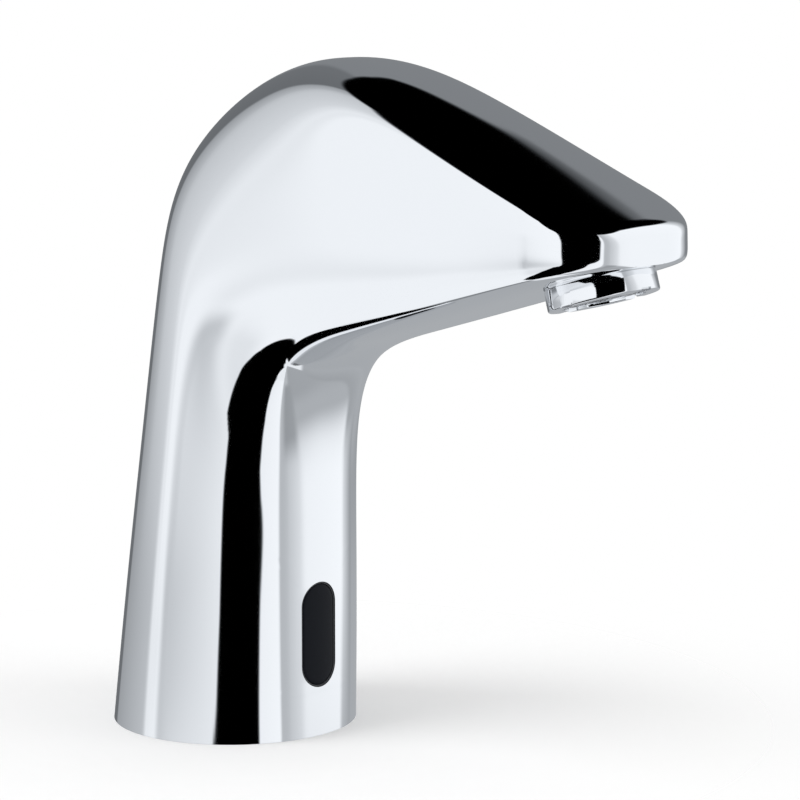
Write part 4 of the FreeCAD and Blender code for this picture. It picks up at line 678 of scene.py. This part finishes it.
@dataclass
class Aerator:
    """The aerator's chromed housing: a ring turned about the nose's axis, with crossed slots for its key."""

    casting: Casting
    rim: float = 11.9
    drop: float = 4.6
    round_edge: float = 0.5
    shoulder_in: float = 0.15
    shoulder_drop: float = 0.25
    thread: float = 11.4
    thread_height: float = 7.0
    lip: float = 8.8
    lip_height: float = 1.2
    inside: float = 9.6
    key_half: float = 1.5
    key_depth: float = 0.6
    between: int = 34
    fillet_turns: int = 6

    def profile(self) -> np.ndarray:
        """The cut through the ring: quarter circles at the rim's two lower edges, then the neck.

        Returns:
            Radius and height of each corner, closed.
        """
        turn = np.linspace(0, np.pi / 2, self.fillet_turns)
        edge, low = self.round_edge, -self.drop
        outer = np.stack([self.rim - edge + edge * np.sin(turn), low + edge - edge * np.cos(turn)], axis=-1)
        inner = np.stack([self.lip + edge / 2 * (1 - np.cos(turn)), low + edge / 2 * (1 - np.sin(turn))], axis=-1)
        neck = [(self.rim, -self.shoulder_drop), (self.rim - self.shoulder_in, 0.0)]
        neck += [(self.thread, 0.0), (self.thread, self.thread_height), (self.inside, self.thread_height)]
        neck += [(self.inside, low + self.lip_height), (self.lip, low + self.lip_height)]
        return np.concatenate([inner, outer, np.array(neck), inner[:1]])

    def build(self) -> bpy.types.Object:
        """Build the housing. Each radius has its own angles, so that the slots' sides stay parallel.

        Returns:
            The housing.
        """
        radius, height = self.profile().T
        half = np.arcsin(self.key_half / radius)[:, None]
        free = np.linspace(0, 1, self.between)[None, :]
        part = np.concatenate([-half, -half, 0 * half, half, half + (np.pi / 2 - 2 * half) * free], axis=1)
        cut = np.zeros(part.shape[1], bool)
        cut[1:4] = True
        cut = np.concatenate([np.tile(cut, 4), cut[:1]])
        angle = np.concatenate([part + np.pi / 2 * k for k in range(4)] + [part[:, :1] + 2 * np.pi], axis=1)
        up = np.broadcast_to(height[:, None], angle.shape)
        up = np.where(cut[None, :], np.maximum(up, self.key_depth - self.drop), up)
        shell = Shell()
        shell.grid(self.casting.nose(radius[:, None] * np.cos(angle), radius[:, None] * np.sin(angle), up))
        return shell.make("aerator_ring")

    def dress(self, painter: Painter) -> None:
        """Build the housing, plate it and put it on the tap."""
        painter.put(self.build(), "chrome", CHROME, "aerator_housing")


# ------------------------------------------------------------------ finishes


class Grain(Enum):
    """What a surface shows close up. Each value names the grain library's method that makes it."""

    POLISH = "polish_haze"
    SPECKLE = "moulded_speckle"
    LATHE = "lathe_rings"
    BRUSH = "drawn_lines"
    TURNS = "wound_turns_groove_shade"


@dataclass(frozen=True)
class Finish:
    """One finish: its colour, gloss and grain."""

    name: str
    colour: Colour
    roughness: float
    metallic: float = 0.0
    specular: float = 0.5
    coat: float = 0.0
    grain: Grain = Grain.SPECKLE
    scale: float = 900.0
    depth: float = 0.00002
    shade: float = 0.12
    gloss_change: float = 0.06


class Nodes:
    """A tree of shader nodes and short ways to add to it."""

    def __init__(self, tree: bpy.types.NodeTree) -> None:
        """Take the tree that the nodes go in."""
        self.tree = tree

    def add(self, kind: str, inputs: dict | None = None, **settings: object) -> bpy.types.Node:
        """Add a node.

        Args:
            kind: The node's type.
            inputs: Values or output sockets for its inputs, by name or number.
            settings: The node's own settings.

        Returns:
            The node.
        """
        node = self.tree.nodes.new(kind)
        for key, setting in settings.items():
            setattr(node, key, setting)
        for key, item in (inputs or {}).items():
            if isinstance(item, Socket):
                self.tree.links.new(item, node.inputs[key])
            else:
                node.inputs[key].default_value = item
        return node

    def maths(self, operation: str, first: object, second: object = 0.0) -> Socket:
        """A sum, product or other function of two values."""
        return self.add("ShaderNodeMath", {0: first, 1: second}, operation=operation).outputs[0]

    def noise(self, vector: object, scale: object, detail: float = 2.0) -> Socket:
        """Soft noise from 0 to 1."""
        return self.add("ShaderNodeTexNoise", {"Vector": vector, "Scale": scale, "Detail": detail}).outputs["Fac"]

    def up(self, vector: object) -> Socket:
        """A vector's height."""
        return self.add("ShaderNodeSeparateXYZ", {0: vector}).outputs["Z"]


def emptied(owner: bpy.types.Material | bpy.types.World) -> Nodes:
    """Give a new material or world an empty tree of nodes."""
    owner.use_nodes = True
    owner.node_tree.nodes.clear()
    return Nodes(owner.node_tree)


class GrainLibrary:
    """The shared grains, each a node group that is made once and puts out a mask and a height.

    Each grain's method takes the group's nodes, the place and the scale, and gives the mask and the height.
    """

    def __init__(self) -> None:
        """Start with no group made."""
        self.made: dict[Grain, bpy.types.NodeTree] = {}

    def get(self, grain: Grain) -> bpy.types.NodeTree:
        """Give a grain's group, made the first time.

        Args:
            grain: Which one.

        Returns:
            The group, with inputs Vector and Scale and outputs Mask and Height.
        """
        if grain not in self.made:
            tree = bpy.data.node_groups.new(grain.value, "ShaderNodeTree")
            tree.interface.new_socket("Vector", in_out="INPUT", socket_type="NodeSocketVector")
            for name, way in (("Scale", "INPUT"), ("Mask", "OUTPUT"), ("Height", "OUTPUT")):
                tree.interface.new_socket(name, in_out=way, socket_type="NodeSocketFloat")
            nodes = Nodes(tree)
            taken = nodes.add("NodeGroupInput")
            mask, height = getattr(self, grain.value)(nodes, taken.outputs["Vector"], taken.outputs["Scale"])
            nodes.add("NodeGroupOutput", {"Mask": mask, "Height": height})
            self.made[grain] = tree
        return self.made[grain]

    def polish_haze(self, nodes: Nodes, vector: Socket, scale: Socket) -> tuple[Socket, Socket]:
        """Buffed metal: wide soft haze, and a very shallow ripple left by the wheel."""
        haze = nodes.noise(vector, scale, 3.0)
        return haze, nodes.noise(vector, nodes.maths("MULTIPLY", scale, 0.6), 0.0)

    def moulded_speckle(self, nodes: Nodes, vector: Socket, scale: Socket) -> tuple[Socket, Socket]:
        """Moulded plastic or rubber: fine pits, and wider clouds in the colour.

        Args:
            nodes: The group's nodes.
            vector: The place.
            scale: How fine the pits are.

        Returns:
            The mask, which is the mean of both, and the height, which is the pits alone.
        """
        fine = nodes.noise(vector, scale)
        cloud = nodes.noise(vector, nodes.maths("MULTIPLY", scale, 0.12))
        return nodes.maths("MULTIPLY", nodes.maths("ADD", fine, cloud), 0.5), fine

    def lathe_rings(self, nodes: Nodes, vector: Socket, scale: Socket) -> tuple[Socket, Socket]:
        """Turned metal: fine rings about the upright axis, shifted by soft noise, with uneven tool marks.

        Args:
            nodes: The group's nodes.
            vector: The place.
            scale: The rings' radians to a metre of height.

        Returns:
            The mask, which is the rings times the noise, and the height, which is the rings alone.
        """
        height = nodes.maths("MULTIPLY", nodes.up(vector), scale)
        uneven = nodes.noise(vector, 60.0)
        wave = nodes.maths("SINE", nodes.maths("ADD", height, nodes.maths("MULTIPLY", uneven, 2.5)))
        ring = nodes.maths("ADD", nodes.maths("MULTIPLY", wave, 0.35), 0.5)
        return nodes.maths("MULTIPLY", ring, nodes.maths("ADD", uneven, 0.5)), ring

    def drawn_lines(self, nodes: Nodes, vector: Socket, scale: Socket) -> tuple[Socket, Socket]:
        """Rolled or drawn metal: noise that is stretched along the height, as mask and height alike."""
        stretched = nodes.add("ShaderNodeMapping", {"Vector": vector, "Scale": (1.0, 1.0, 0.06)}).outputs[0]
        return (nodes.noise(stretched, scale, 3.0),) * 2

    def wound_turns_groove_shade(self, nodes: Nodes, vector: Socket, scale: Socket) -> tuple[Socket, Socket]:
        """Wire wound side by side: a round ridge a turn, the size of a sine of the height, as mask and height alike. As
        the mask it darkens the colour in the grooves between turns, which is painted shade.
        """
        wave = nodes.maths("SINE", nodes.maths("MULTIPLY", nodes.up(vector), scale))
        return (nodes.maths("ABSOLUTE", wave),) * 2


class Painter:
    """Makes each finish's material and puts it on pieces."""

    smoothest: float = 0.01

    def __init__(self) -> None:
        """Start with the grains and no material."""
        self.grains = GrainLibrary()
        self.made: dict[str, bpy.types.Material] = {}

    def material(self, finish: Finish) -> bpy.types.Material:
        """Give a finish's material: its grain shades the colour, changes the gloss and bumps the surface.

        Args:
            finish: The finish.

        Returns:
            The material.
        """
        if finish.name in self.made:
            return self.made[finish.name]
        material = bpy.data.materials.new(finish.name)
        nodes = emptied(material)
        where = nodes.add("ShaderNodeTexCoord").outputs["Object"]
        grain = nodes.add("ShaderNodeGroup", node_tree=self.grains.get(finish.grain))
        nodes.tree.links.new(where, grain.inputs["Vector"])
        grain.inputs["Scale"].default_value = finish.scale
        mask, height = grain.outputs["Mask"], grain.outputs["Height"]
        dark = tuple(c * (1 - finish.shade) for c in finish.colour) + (1.0,)
        colour = nodes.add("ShaderNodeMix", {"Factor": mask, 6: dark, 7: (*finish.colour, 1.0)}, data_type="RGBA")
        low, high = finish.roughness - finish.gloss_change / 2, finish.roughness + finish.gloss_change / 2
        gloss = nodes.add("ShaderNodeMapRange", {"Value": mask, "To Min": max(low, self.smoothest), "To Max": high})
        bump = nodes.add("ShaderNodeBump", {"Height": height, "Strength": 1.0, "Distance": finish.depth})
        shader = nodes.add(
            "ShaderNodeBsdfPrincipled",
            {
                "Base Color": colour.outputs[2],
                "Roughness": gloss.outputs[0],
                "Metallic": finish.metallic,
                "Specular IOR Level": finish.specular,
                "Coat Weight": finish.coat,
                "Normal": bump.outputs[0],
            },
        )
        nodes.add("ShaderNodeOutputMaterial", {"Surface": shader.outputs[0]})
        self.made[finish.name] = material
        return material

    def dress(self, piece: bpy.types.Object, finish: Finish) -> None:
        """Put one finish on the whole of a piece.

        Args:
            piece: The piece.
            finish: Its finish.
        """
        piece.data.materials.clear()
        piece.data.materials.append(self.material(finish))
        LOG.info("%s: %s", piece.name, finish.name)

    def put(self, piece: bpy.types.Object, slot: str, finish: Finish, *nodes: str) -> None:
        """Dress a new piece, let it ride on the tap's body and stand for its CAD nodes.

        Args:
            piece: The new piece.
            slot: The record's material slot that it belongs to; not used.
            finish: Its finish.
            nodes: The CAD nodes that it replaces.
        """
        self.dress(piece, finish)
        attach(piece, "tap")
        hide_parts(*nodes)


CHROME = Finish(
    "chrome_plate", (0.93, 0.94, 0.955), 0.045, 1.0,
    grain=Grain.POLISH, scale=22.0, depth=0.00003, shade=0.02, gloss_change=0.03,
)
GLASS = Finish(
    "infrared_glass", (0.0055, 0.0068, 0.0105), 0.12,
    specular=0.09, scale=260.0, depth=0.000002, shade=0.2, gloss_change=0.05,
)
GASKET = Finish("gasket_rubber", (0.035, 0.037, 0.042), 0.5, scale=1500.0)

SLOT_FINISHES: dict[str, Finish] = {
    "chrome": CHROME,
    "dark_window": GLASS,
    "rubber": Finish("nitrile_rubber", (0.03, 0.03, 0.032), 0.55, scale=1400.0, shade=0.25, gloss_change=0.14),
    "brass": Finish(
        "turned_brass", (0.72, 0.53, 0.26), 0.26, 1.0,
        grain=Grain.LATHE, scale=14000.0, depth=0.00001, shade=0.14, gloss_change=0.12,
    ),
    "steel": Finish(
        "satin_steel", (0.6, 0.6, 0.61), 0.3, 1.0,
        grain=Grain.BRUSH, scale=2200.0, depth=0.000008, shade=0.12, gloss_change=0.14,
    ),
    "springs": Finish(
        "spring_wire", (0.55, 0.55, 0.56), 0.24, 1.0,
        grain=Grain.BRUSH, scale=3200.0, depth=0.000005, shade=0.16, gloss_change=0.12,
    ),
    "black_plastic": Finish("black_nylon", (0.022, 0.022, 0.024), 0.42, scale=1800.0, shade=0.3, gloss_change=0.12),
    "white_plastic": Finish("acetal_white", (0.8, 0.8, 0.77), 0.34, scale=1200.0, shade=0.06, gloss_change=0.08),
    "screen_plastic": Finish("screen_grey", (0.42, 0.43, 0.45), 0.38, scale=1200.0, shade=0.1, gloss_change=0.08),
    "board": Finish(
        "solder_mask_green", (0.02, 0.13, 0.055), 0.3, coat=0.3,
        grain=Grain.BRUSH, scale=900.0, depth=0.000008, shade=0.35, gloss_change=0.1,
    ),
    "diodes": Finish("diode_resin", (0.03, 0.02, 0.035), 0.12, coat=0.5, scale=500.0, depth=0.000003, shade=0.2),
    # The copper's wound grain darkens it by its shade of 0.4 in the grooves between turns: painted shade.
    "copper": Finish(
        "enamelled_copper", (0.62, 0.25, 0.1), 0.28, 1.0, coat=0.4,
        grain=Grain.TURNS, scale=9000.0, depth=0.00006, shade=0.4,
    ),
    "cell_sleeve": Finish(
        "cell_sleeve_blue", (0.03, 0.09, 0.24), 0.3, coat=0.3, scale=700.0, depth=0.00001, shade=0.18
    ),
    "pipe": Finish("tube_clear_grey", (0.5, 0.52, 0.54), 0.28, scale=900.0, depth=0.00001, shade=0.08),
    "lead_sleeve": Finish("lead_sleeve_black", (0.02, 0.02, 0.02), 0.4, scale=2400.0, shade=0.3),
}


# ------------------------------------------------------------------ springs


@dataclass(frozen=True)
class Spring:
    """A spring, which in the tap shortens towards its fixed end as its joint lifts what it presses on; its sizes are in
    millimetres. Here only its node is used.
    """

    node: str
    joint: str
    fixed_end: float
    length: float
    lift: float

    def press(self, nodes: dict) -> None:
        """Give the spring's node a mesh of its own; the node is not shortened."""
        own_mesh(nodes[self.node])


SPRINGS = (
    Spring("check_valve_spring", "check_poppet_lift", 20.4, 4.6, 2.4),
    Spring("plunger_spring", "plunger_lift", 67.7, 8.6, 1.4),
)


# ------------------------------------------------------------------ studio


@dataclass(frozen=True)
class Panel:
    """One panel of the studio as the tap's metal sees it: its sides, its lower and upper end, and its shade.

    The sides run straight between rows of elevation, left azimuth and right azimuth, in degrees.
    """

    sides: tuple[tuple[float, float, float], ...]
    ends: tuple[float, float]
    level: tuple[float, float]
    soft: float = 1.5

    def across(self, azimuth: np.ndarray, elevation: np.ndarray) -> Pair:
        """How far directions lie past the left side, and the panel's width, both at their elevation.

        Args:
            azimuth: The directions' azimuths.
            elevation: Their elevations.

        Returns:
            The degrees past the left side, from -90 to 270, and the width.
        """
        height, left, right = np.array(self.sides).T
        low, high = np.interp(elevation, height, left), np.interp(elevation, height, right)
        return np.mod(azimuth - low + 90, 360) - 90, high - low

    def weight(self, azimuth: np.ndarray, elevation: np.ndarray) -> np.ndarray:
        """How much directions see of the panel: the product of four eased edges.

        Args:
            azimuth: The directions' azimuths.
            elevation: Their elevations.

        Returns:
            The share of the panel in what they see, from 0 to 1.
        """
        past, width = self.across(azimuth, elevation)
        inside = ease(-self.soft, self.soft, past) * ease(-self.soft, self.soft, width - past)
        low, high = self.ends
        return inside * ease(-self.soft, self.soft, elevation - low) * ease(-self.soft, self.soft, high - elevation)

    def shade(self, azimuth: np.ndarray, elevation: np.ndarray) -> np.ndarray:
        """The panel's shade from its left to its right side, as it looks on a screen."""
        past, width = self.across(azimuth, elevation)
        return self.level[0] + (self.level[1] - self.level[0]) * np.clip(past / width, 0, 1)


@dataclass(frozen=True)
class Canopy:
    """The black cloth over the studio: how low its hem hangs, straight between rows of azimuth and elevation."""

    hem: tuple[tuple[float, float], ...]
    soft: float = 1.2

    def weight(self, azimuth: np.ndarray, elevation: np.ndarray) -> np.ndarray:
        """How much directions see of the cloth: an eased edge along the hem."""
        along, low = np.array(self.hem).T
        return ease(-self.soft, self.soft, elevation - np.interp(azimuth, along, low))


@dataclass(frozen=True)
class Lamp:
    """A lamp: its name, its place in metres and its power in watts."""

    name: str
    place: Place
    power: float


def upright(left: float, right: float, low: float, high: float, first: float, last: float, soft: float = 1.5) -> Panel:
    """A panel with upright sides.

    Args:
        left: Azimuth of the left side.
        right: Azimuth of the right side.
        low: Elevation of the lower end.
        high: Elevation of the upper end.
        first: Shade at the left.
        last: Shade at the right.
        soft: How far the edges blend, in degrees.

    Returns:
        The panel.
    """
    return Panel(((0.0, left, right),), (low, high), (first, last), soft)


def aim(thing: bpy.types.Object, place: Place, target: Place) -> None:
    """Put a camera or a lamp in its place and turn it to the target, with its own top up."""
    thing.location = place
    thing.rotation_euler = (Vector(target) - Vector(place)).to_track_quat("-Z", "Y").to_euler()


def light_of(level: np.ndarray) -> np.ndarray:
    """The light that a screen shows for a level from 0 to 1, by the sRGB curve."""
    return np.where(level <= 0.04045, level / 12.92, ((level + 0.055) / 1.055) ** 2.4)


@dataclass
class Studio:
    """Camera, white surroundings, a pale floor, soft lamps, and panels that only the metal's shine shows.

    The camera and the lamps are placed in metres and the floor is measured in millimetres, but floor_fade is in
    metres, as the shader reads it. Panels later in the row lie over those before them, the flag over all the panels
    and the canopy over the flag. tint and tint_dark are the red, green and blue shares of the panels' light: the
    first of a white panel, the second what a black one adds to them.
    """

    lens: float = 144.63
    sensor: float = 36.0
    sight_end: float = 20.0
    place: Place = (0.53966, -0.50697, 0.18867)
    target: Place = (0.028075, 0.026903, 0.075007)
    plain: float = 0.62
    lamps: tuple[Lamp, ...] = (Lamp("key_lamp", (-0.5, -1.1, 1.5), 13.0), Lamp("fill_lamp", (1.3, 0.5, 1.2), 6.0))
    lamp_target: Place = (0.03, 0, 0.05)
    lamp_size: float = 1.1
    floor_radius: float = 900
    floor_x: float = 30
    floor_drop: float = 0.05
    floor_cells: tuple[int, int] = (18, 96)
    floor_fade: tuple[float, float] = (0.04, 0.17)
    floor_colour: Colour = (0.93, 0.93, 0.93)
    floor_roughness: float = 0.9
    floor_lift: float = 0.12
    radius: float = 2.2
    cells_up: int = 270
    surround: float = 0.52
    tint: Colour = (0.965, 0.99, 1.02)
    tint_dark: Colour = (-0.05, 0.0, 0.06)
    panels: tuple[Panel, ...] = (
        upright(-180, -100, -90, -8, 0.68, 0.68, 4),
        Panel(
            ((-10, -128, -103), (0, -128, -103), (11, -128, -99), (28, -128, -93), (50, -128, -90)),
            (-20, 90), (0.45, 0.43), 2.5,
        ),
        Panel(((0, -104, -76), (11, -100, -76), (28, -94, -76), (50, -91, -76)), (-30, 90), (0.62, 0.78), 2.5),
        upright(-79, -52, -30, 90, 0.79, 0.86, 4),
        upright(-56, -44, -30, 90, 0.86, 0.95, 4),
        upright(-47, 34, -30, 90, 0.98, 1.0, 5),
        Panel(
            ((-60, -86, 34), (-54, -80, 34), (-50, -74, 34), (-43, -65, 34), (-36, -58, 34), (-17, -50, 34)),
            (-90, -14), (0.98, 1.0), 3,
        ),
        upright(-104, -50, -18, -5, 0.63, 0.77, 4),
        upright(-47, -37, -13, -8, 0.95, 0.93, 4),
        upright(-34, -24, -17, -5, 0.79, 0.795, 4),
        upright(-28, 36, -17, -5, 0.79, 0.955, 5),
        upright(-32, 20, -44, -18, 0.925, 0.91, 10),
        upright(60, 92, -90, 90, 0.96, 1.0),
        upright(91, 100, -90, 90, 0.75, 0.74, 2),
        upright(97, 122, -90, 90, 0.77, 0.97, 4),
        upright(116, 172, -90, 90, 0.98, 1.01, 5),
        upright(168, 186, -90, 90, 0.92, 0.6, 4),
        upright(104, 190, -90, -20, 0.7, 0.71, 9),
        upright(104, 190, -90, -43, 0.655, 0.67, 9),
        upright(166, 190, -60, -14, 0.65, 0.69, 4),
        upright(96, 113, -62, -19, 0.615, 0.64, 4),
        upright(-181, 181, -100, -68, 0.96, 0.96, 3),
    )
    flag: Panel = Panel(
        (
            (-84, -52, 42), (-81, -62, 46), (-76, -80, 50), (-70, -81, 55), (-66, -74, 57), (-63, -69, 58.5),
            (-60, -63, 60), (-57, -55, 60.5), (-54, -44, 61), (-51, -31, 62), (-48, -20, 63), (-41, -8, 64.5),
            (-34, 0, 66), (-30, 6, 67), (-23, 14, 67.5), (-18, 19.5, 68.5), (-15, 29, 69), (-11.5, 32, 71.5),
            (-8, 32.5, 78), (-3, 32.5, 85), (5, 30, 86), (90, 27, 86),
        ),
        (-85, 100), (0.0, 0.0), 1.2,
    )
    canopy: Canopy = Canopy(
        (
            (-180, 37), (-155, 37), (-150, 40), (-143, 43), (-137, 48), (-124, 54), (-89, 63.5), (-69, 68), (-50, 66),
            (-10, 60), (4, 55), (19, 32), (27, 24), (31, 5), (84, 5), (92, 42), (150, 45), (180, 37),
        )
    )

    def add_camera(self) -> None:
        """Put the camera where the photograph was taken from."""
        data = bpy.data.cameras.new("camera")
        data.lens, data.sensor_width, data.clip_end = self.lens, self.sensor, self.sight_end
        camera = new_object("camera", data)
        aim(camera, self.place, self.target)
        bpy.context.scene.camera = camera

    def add_world(self) -> None:
        """White to the eye, in shine and through glass, and a plain soft level for everything else."""
        world = bpy.data.worlds.new("world")
        nodes = emptied(world)
        path = nodes.add("ShaderNodeLightPath")
        seen = nodes.maths("MAXIMUM", path.outputs["Is Camera Ray"], path.outputs["Is Glossy Ray"])
        seen = nodes.maths("MAXIMUM", seen, path.outputs["Is Transmission Ray"])
        level = nodes.add("ShaderNodeMapRange", {"Value": seen, "To Min": self.plain, "To Max": 1.0})
        shader = nodes.add("ShaderNodeBackground", {"Color": (1, 1, 1, 1), "Strength": level.outputs[0]})
        nodes.add("ShaderNodeOutputWorld", {"Surface": shader.outputs[0]})
        bpy.context.scene.world = world
        bpy.context.scene.view_settings.view_transform = "Standard"

    def add_lamps(self) -> None:
        """Wide soft lamps, high on either side, that no shine shows."""
        for lamp in self.lamps:
            data = bpy.data.lights.new(lamp.name, "AREA")
            data.shape, data.size, data.energy = "DISK", self.lamp_size, lamp.power
            made = new_object(lamp.name, data)
            aim(made, lamp.place, self.lamp_target)
            made.visible_glossy = False

    def add_floor(self) -> None:
        """A pale disc under the tap, which fades into the white round it."""
        rings, turns = self.floor_cells
        out, turn = np.meshgrid(
            np.linspace(0, self.floor_radius, rings + 1), np.linspace(0, 2 * np.pi, turns + 1), indexing="ij"
        )
        x, y = out * np.cos(turn) + self.floor_x, out * np.sin(turn)
        shell = Shell()
        shell.grid(np.stack([x, y, 0 * out - self.floor_drop], axis=-1))
        floor = shell.make("floor", outward=False)
        material = bpy.data.materials.new("pale_floor")
        nodes = emptied(material)
        where = nodes.add("ShaderNodeTexCoord").outputs["Object"]
        far = nodes.add("ShaderNodeVectorMath", {0: where}, operation="LENGTH").outputs["Value"]
        near, end = self.floor_fade
        fade = nodes.add(
            "ShaderNodeMapRange", {"Value": far, "From Min": near, "From Max": end}, interpolation_type="SMOOTHSTEP"
        )
        seen = nodes.add("ShaderNodeLightPath").outputs["Is Camera Ray"]
        paint = nodes.add(
            "ShaderNodeBsdfPrincipled",
            {
                "Base Color": (*self.floor_colour, 1),
                "Roughness": self.floor_roughness,
                "Specular IOR Level": 0.0,
                "Emission Color": (1, 1, 1, 1),
                "Emission Strength": nodes.maths("MULTIPLY", seen, self.floor_lift),
            },
        )
        clear = nodes.add("ShaderNodeBsdfTransparent")
        mix = nodes.add("ShaderNodeMixShader", {0: fade.outputs[0], 1: paint.outputs[0], 2: clear.outputs[0]})
        nodes.add("ShaderNodeOutputMaterial", {"Surface": mix.outputs[0]})
        floor.data.materials.append(material)
        floor.visible_glossy = False

    def levels(self, azimuth: np.ndarray, elevation: np.ndarray) -> np.ndarray:
        """How bright directions look on a screen: each panel blended over the last, then the flag and the canopy.

        Args:
            azimuth: The directions' azimuths, in degrees.
            elevation: Their elevations.

        Returns:
            The levels, 0 for black and 1 for white.
        """
        level = np.full_like(azimuth, self.surround)
        for panel in self.panels + (self.flag,):
            weight = panel.weight(azimuth, elevation)
            level = level * (1 - weight) + panel.shade(azimuth, elevation) * weight
        return level * (1 - self.canopy.weight(azimuth, elevation))

    def glow(self, level: np.ndarray) -> np.ndarray:
        """The colour that a level glows with: its light times the tint, which grows stronger as the level darkens.

        Args:
            level: The levels, in one row.

        Returns:
            Red, green, blue and 1 for each.
        """
        dark = np.clip(1 - level, 0, 1)[:, None]
        colour = light_of(level)[:, None] * (np.array(self.tint) + np.array(self.tint_dark) * dark)
        return np.concatenate([colour, np.ones_like(dark)], axis=1)

    def add_reflectors(self) -> None:
        """The panels, as one wide sphere round the tap that glows by direction and shows only in shine."""
        heights, sides = np.linspace(-90, 90, self.cells_up + 1), np.linspace(-180, 180, 2 * self.cells_up + 1)
        elevation, azimuth = np.meshgrid(heights, sides, indexing="ij")
        up, turn = np.radians(elevation), np.radians(azimuth)
        way = np.stack([np.cos(up) * np.sin(turn), -np.cos(up) * np.cos(turn), np.sin(up)], axis=-1)
        index = np.arange(azimuth.size).reshape(azimuth.shape)
        quads = np.stack([index[:-1, :-1], index[:-1, 1:], index[1:, 1:], index[1:, :-1]], axis=-1).reshape(-1, 4)
        mesh = bpy.data.meshes.new("studio_panels")
        mesh.from_pydata((way.reshape(-1, 3) * self.radius).tolist(), [], quads.tolist())
        glow = self.glow(self.levels(azimuth, elevation).ravel())
        mesh.attributes.new("glow", "FLOAT_COLOR", "POINT").data.foreach_set("color", glow.astype(np.float32).ravel())
        piece = new_object("studio_panels", mesh)
        material = bpy.data.materials.new("panel_glow")
        nodes = emptied(material)
        colour = nodes.add("ShaderNodeAttribute", attribute_name="glow").outputs["Color"]
        shader = nodes.add("ShaderNodeEmission", {"Color": colour, "Strength": 1.0})
        nodes.add("ShaderNodeOutputMaterial", {"Surface": shader.outputs[0]})
        mesh.materials.append(material)
        for sight in ("visible_camera", "visible_diffuse", "visible_shadow", "visible_transmission"):
            setattr(piece, sight, False)

    def build(self) -> None:
        """Build the studio."""
        self.add_camera()
        self.add_world()
        self.add_lamps()
        self.add_floor()
        self.add_reflectors()


# ------------------------------------------------------------------ the tap


def main() -> None:
    """Build the studio and the tap, piece by piece."""
    logging.basicConfig(level=logging.INFO, format="%(name)s: %(message)s")
    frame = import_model()
    Studio().build()
    painter = Painter()
    casting = Casting()
    for piece in (casting, SensorWindow(casting), Aerator(casting)):
        piece.dress(painter)
    for row in frame["record"]["subparts"]:
        node = frame["nodes"][row["node"]]
        if not node.hide_render:
            painter.dress(node, SLOT_FINISHES[row["material_slot"]])
    for spring in SPRINGS:
        spring.press(frame["nodes"])


if __name__ == "__main__":
    main()
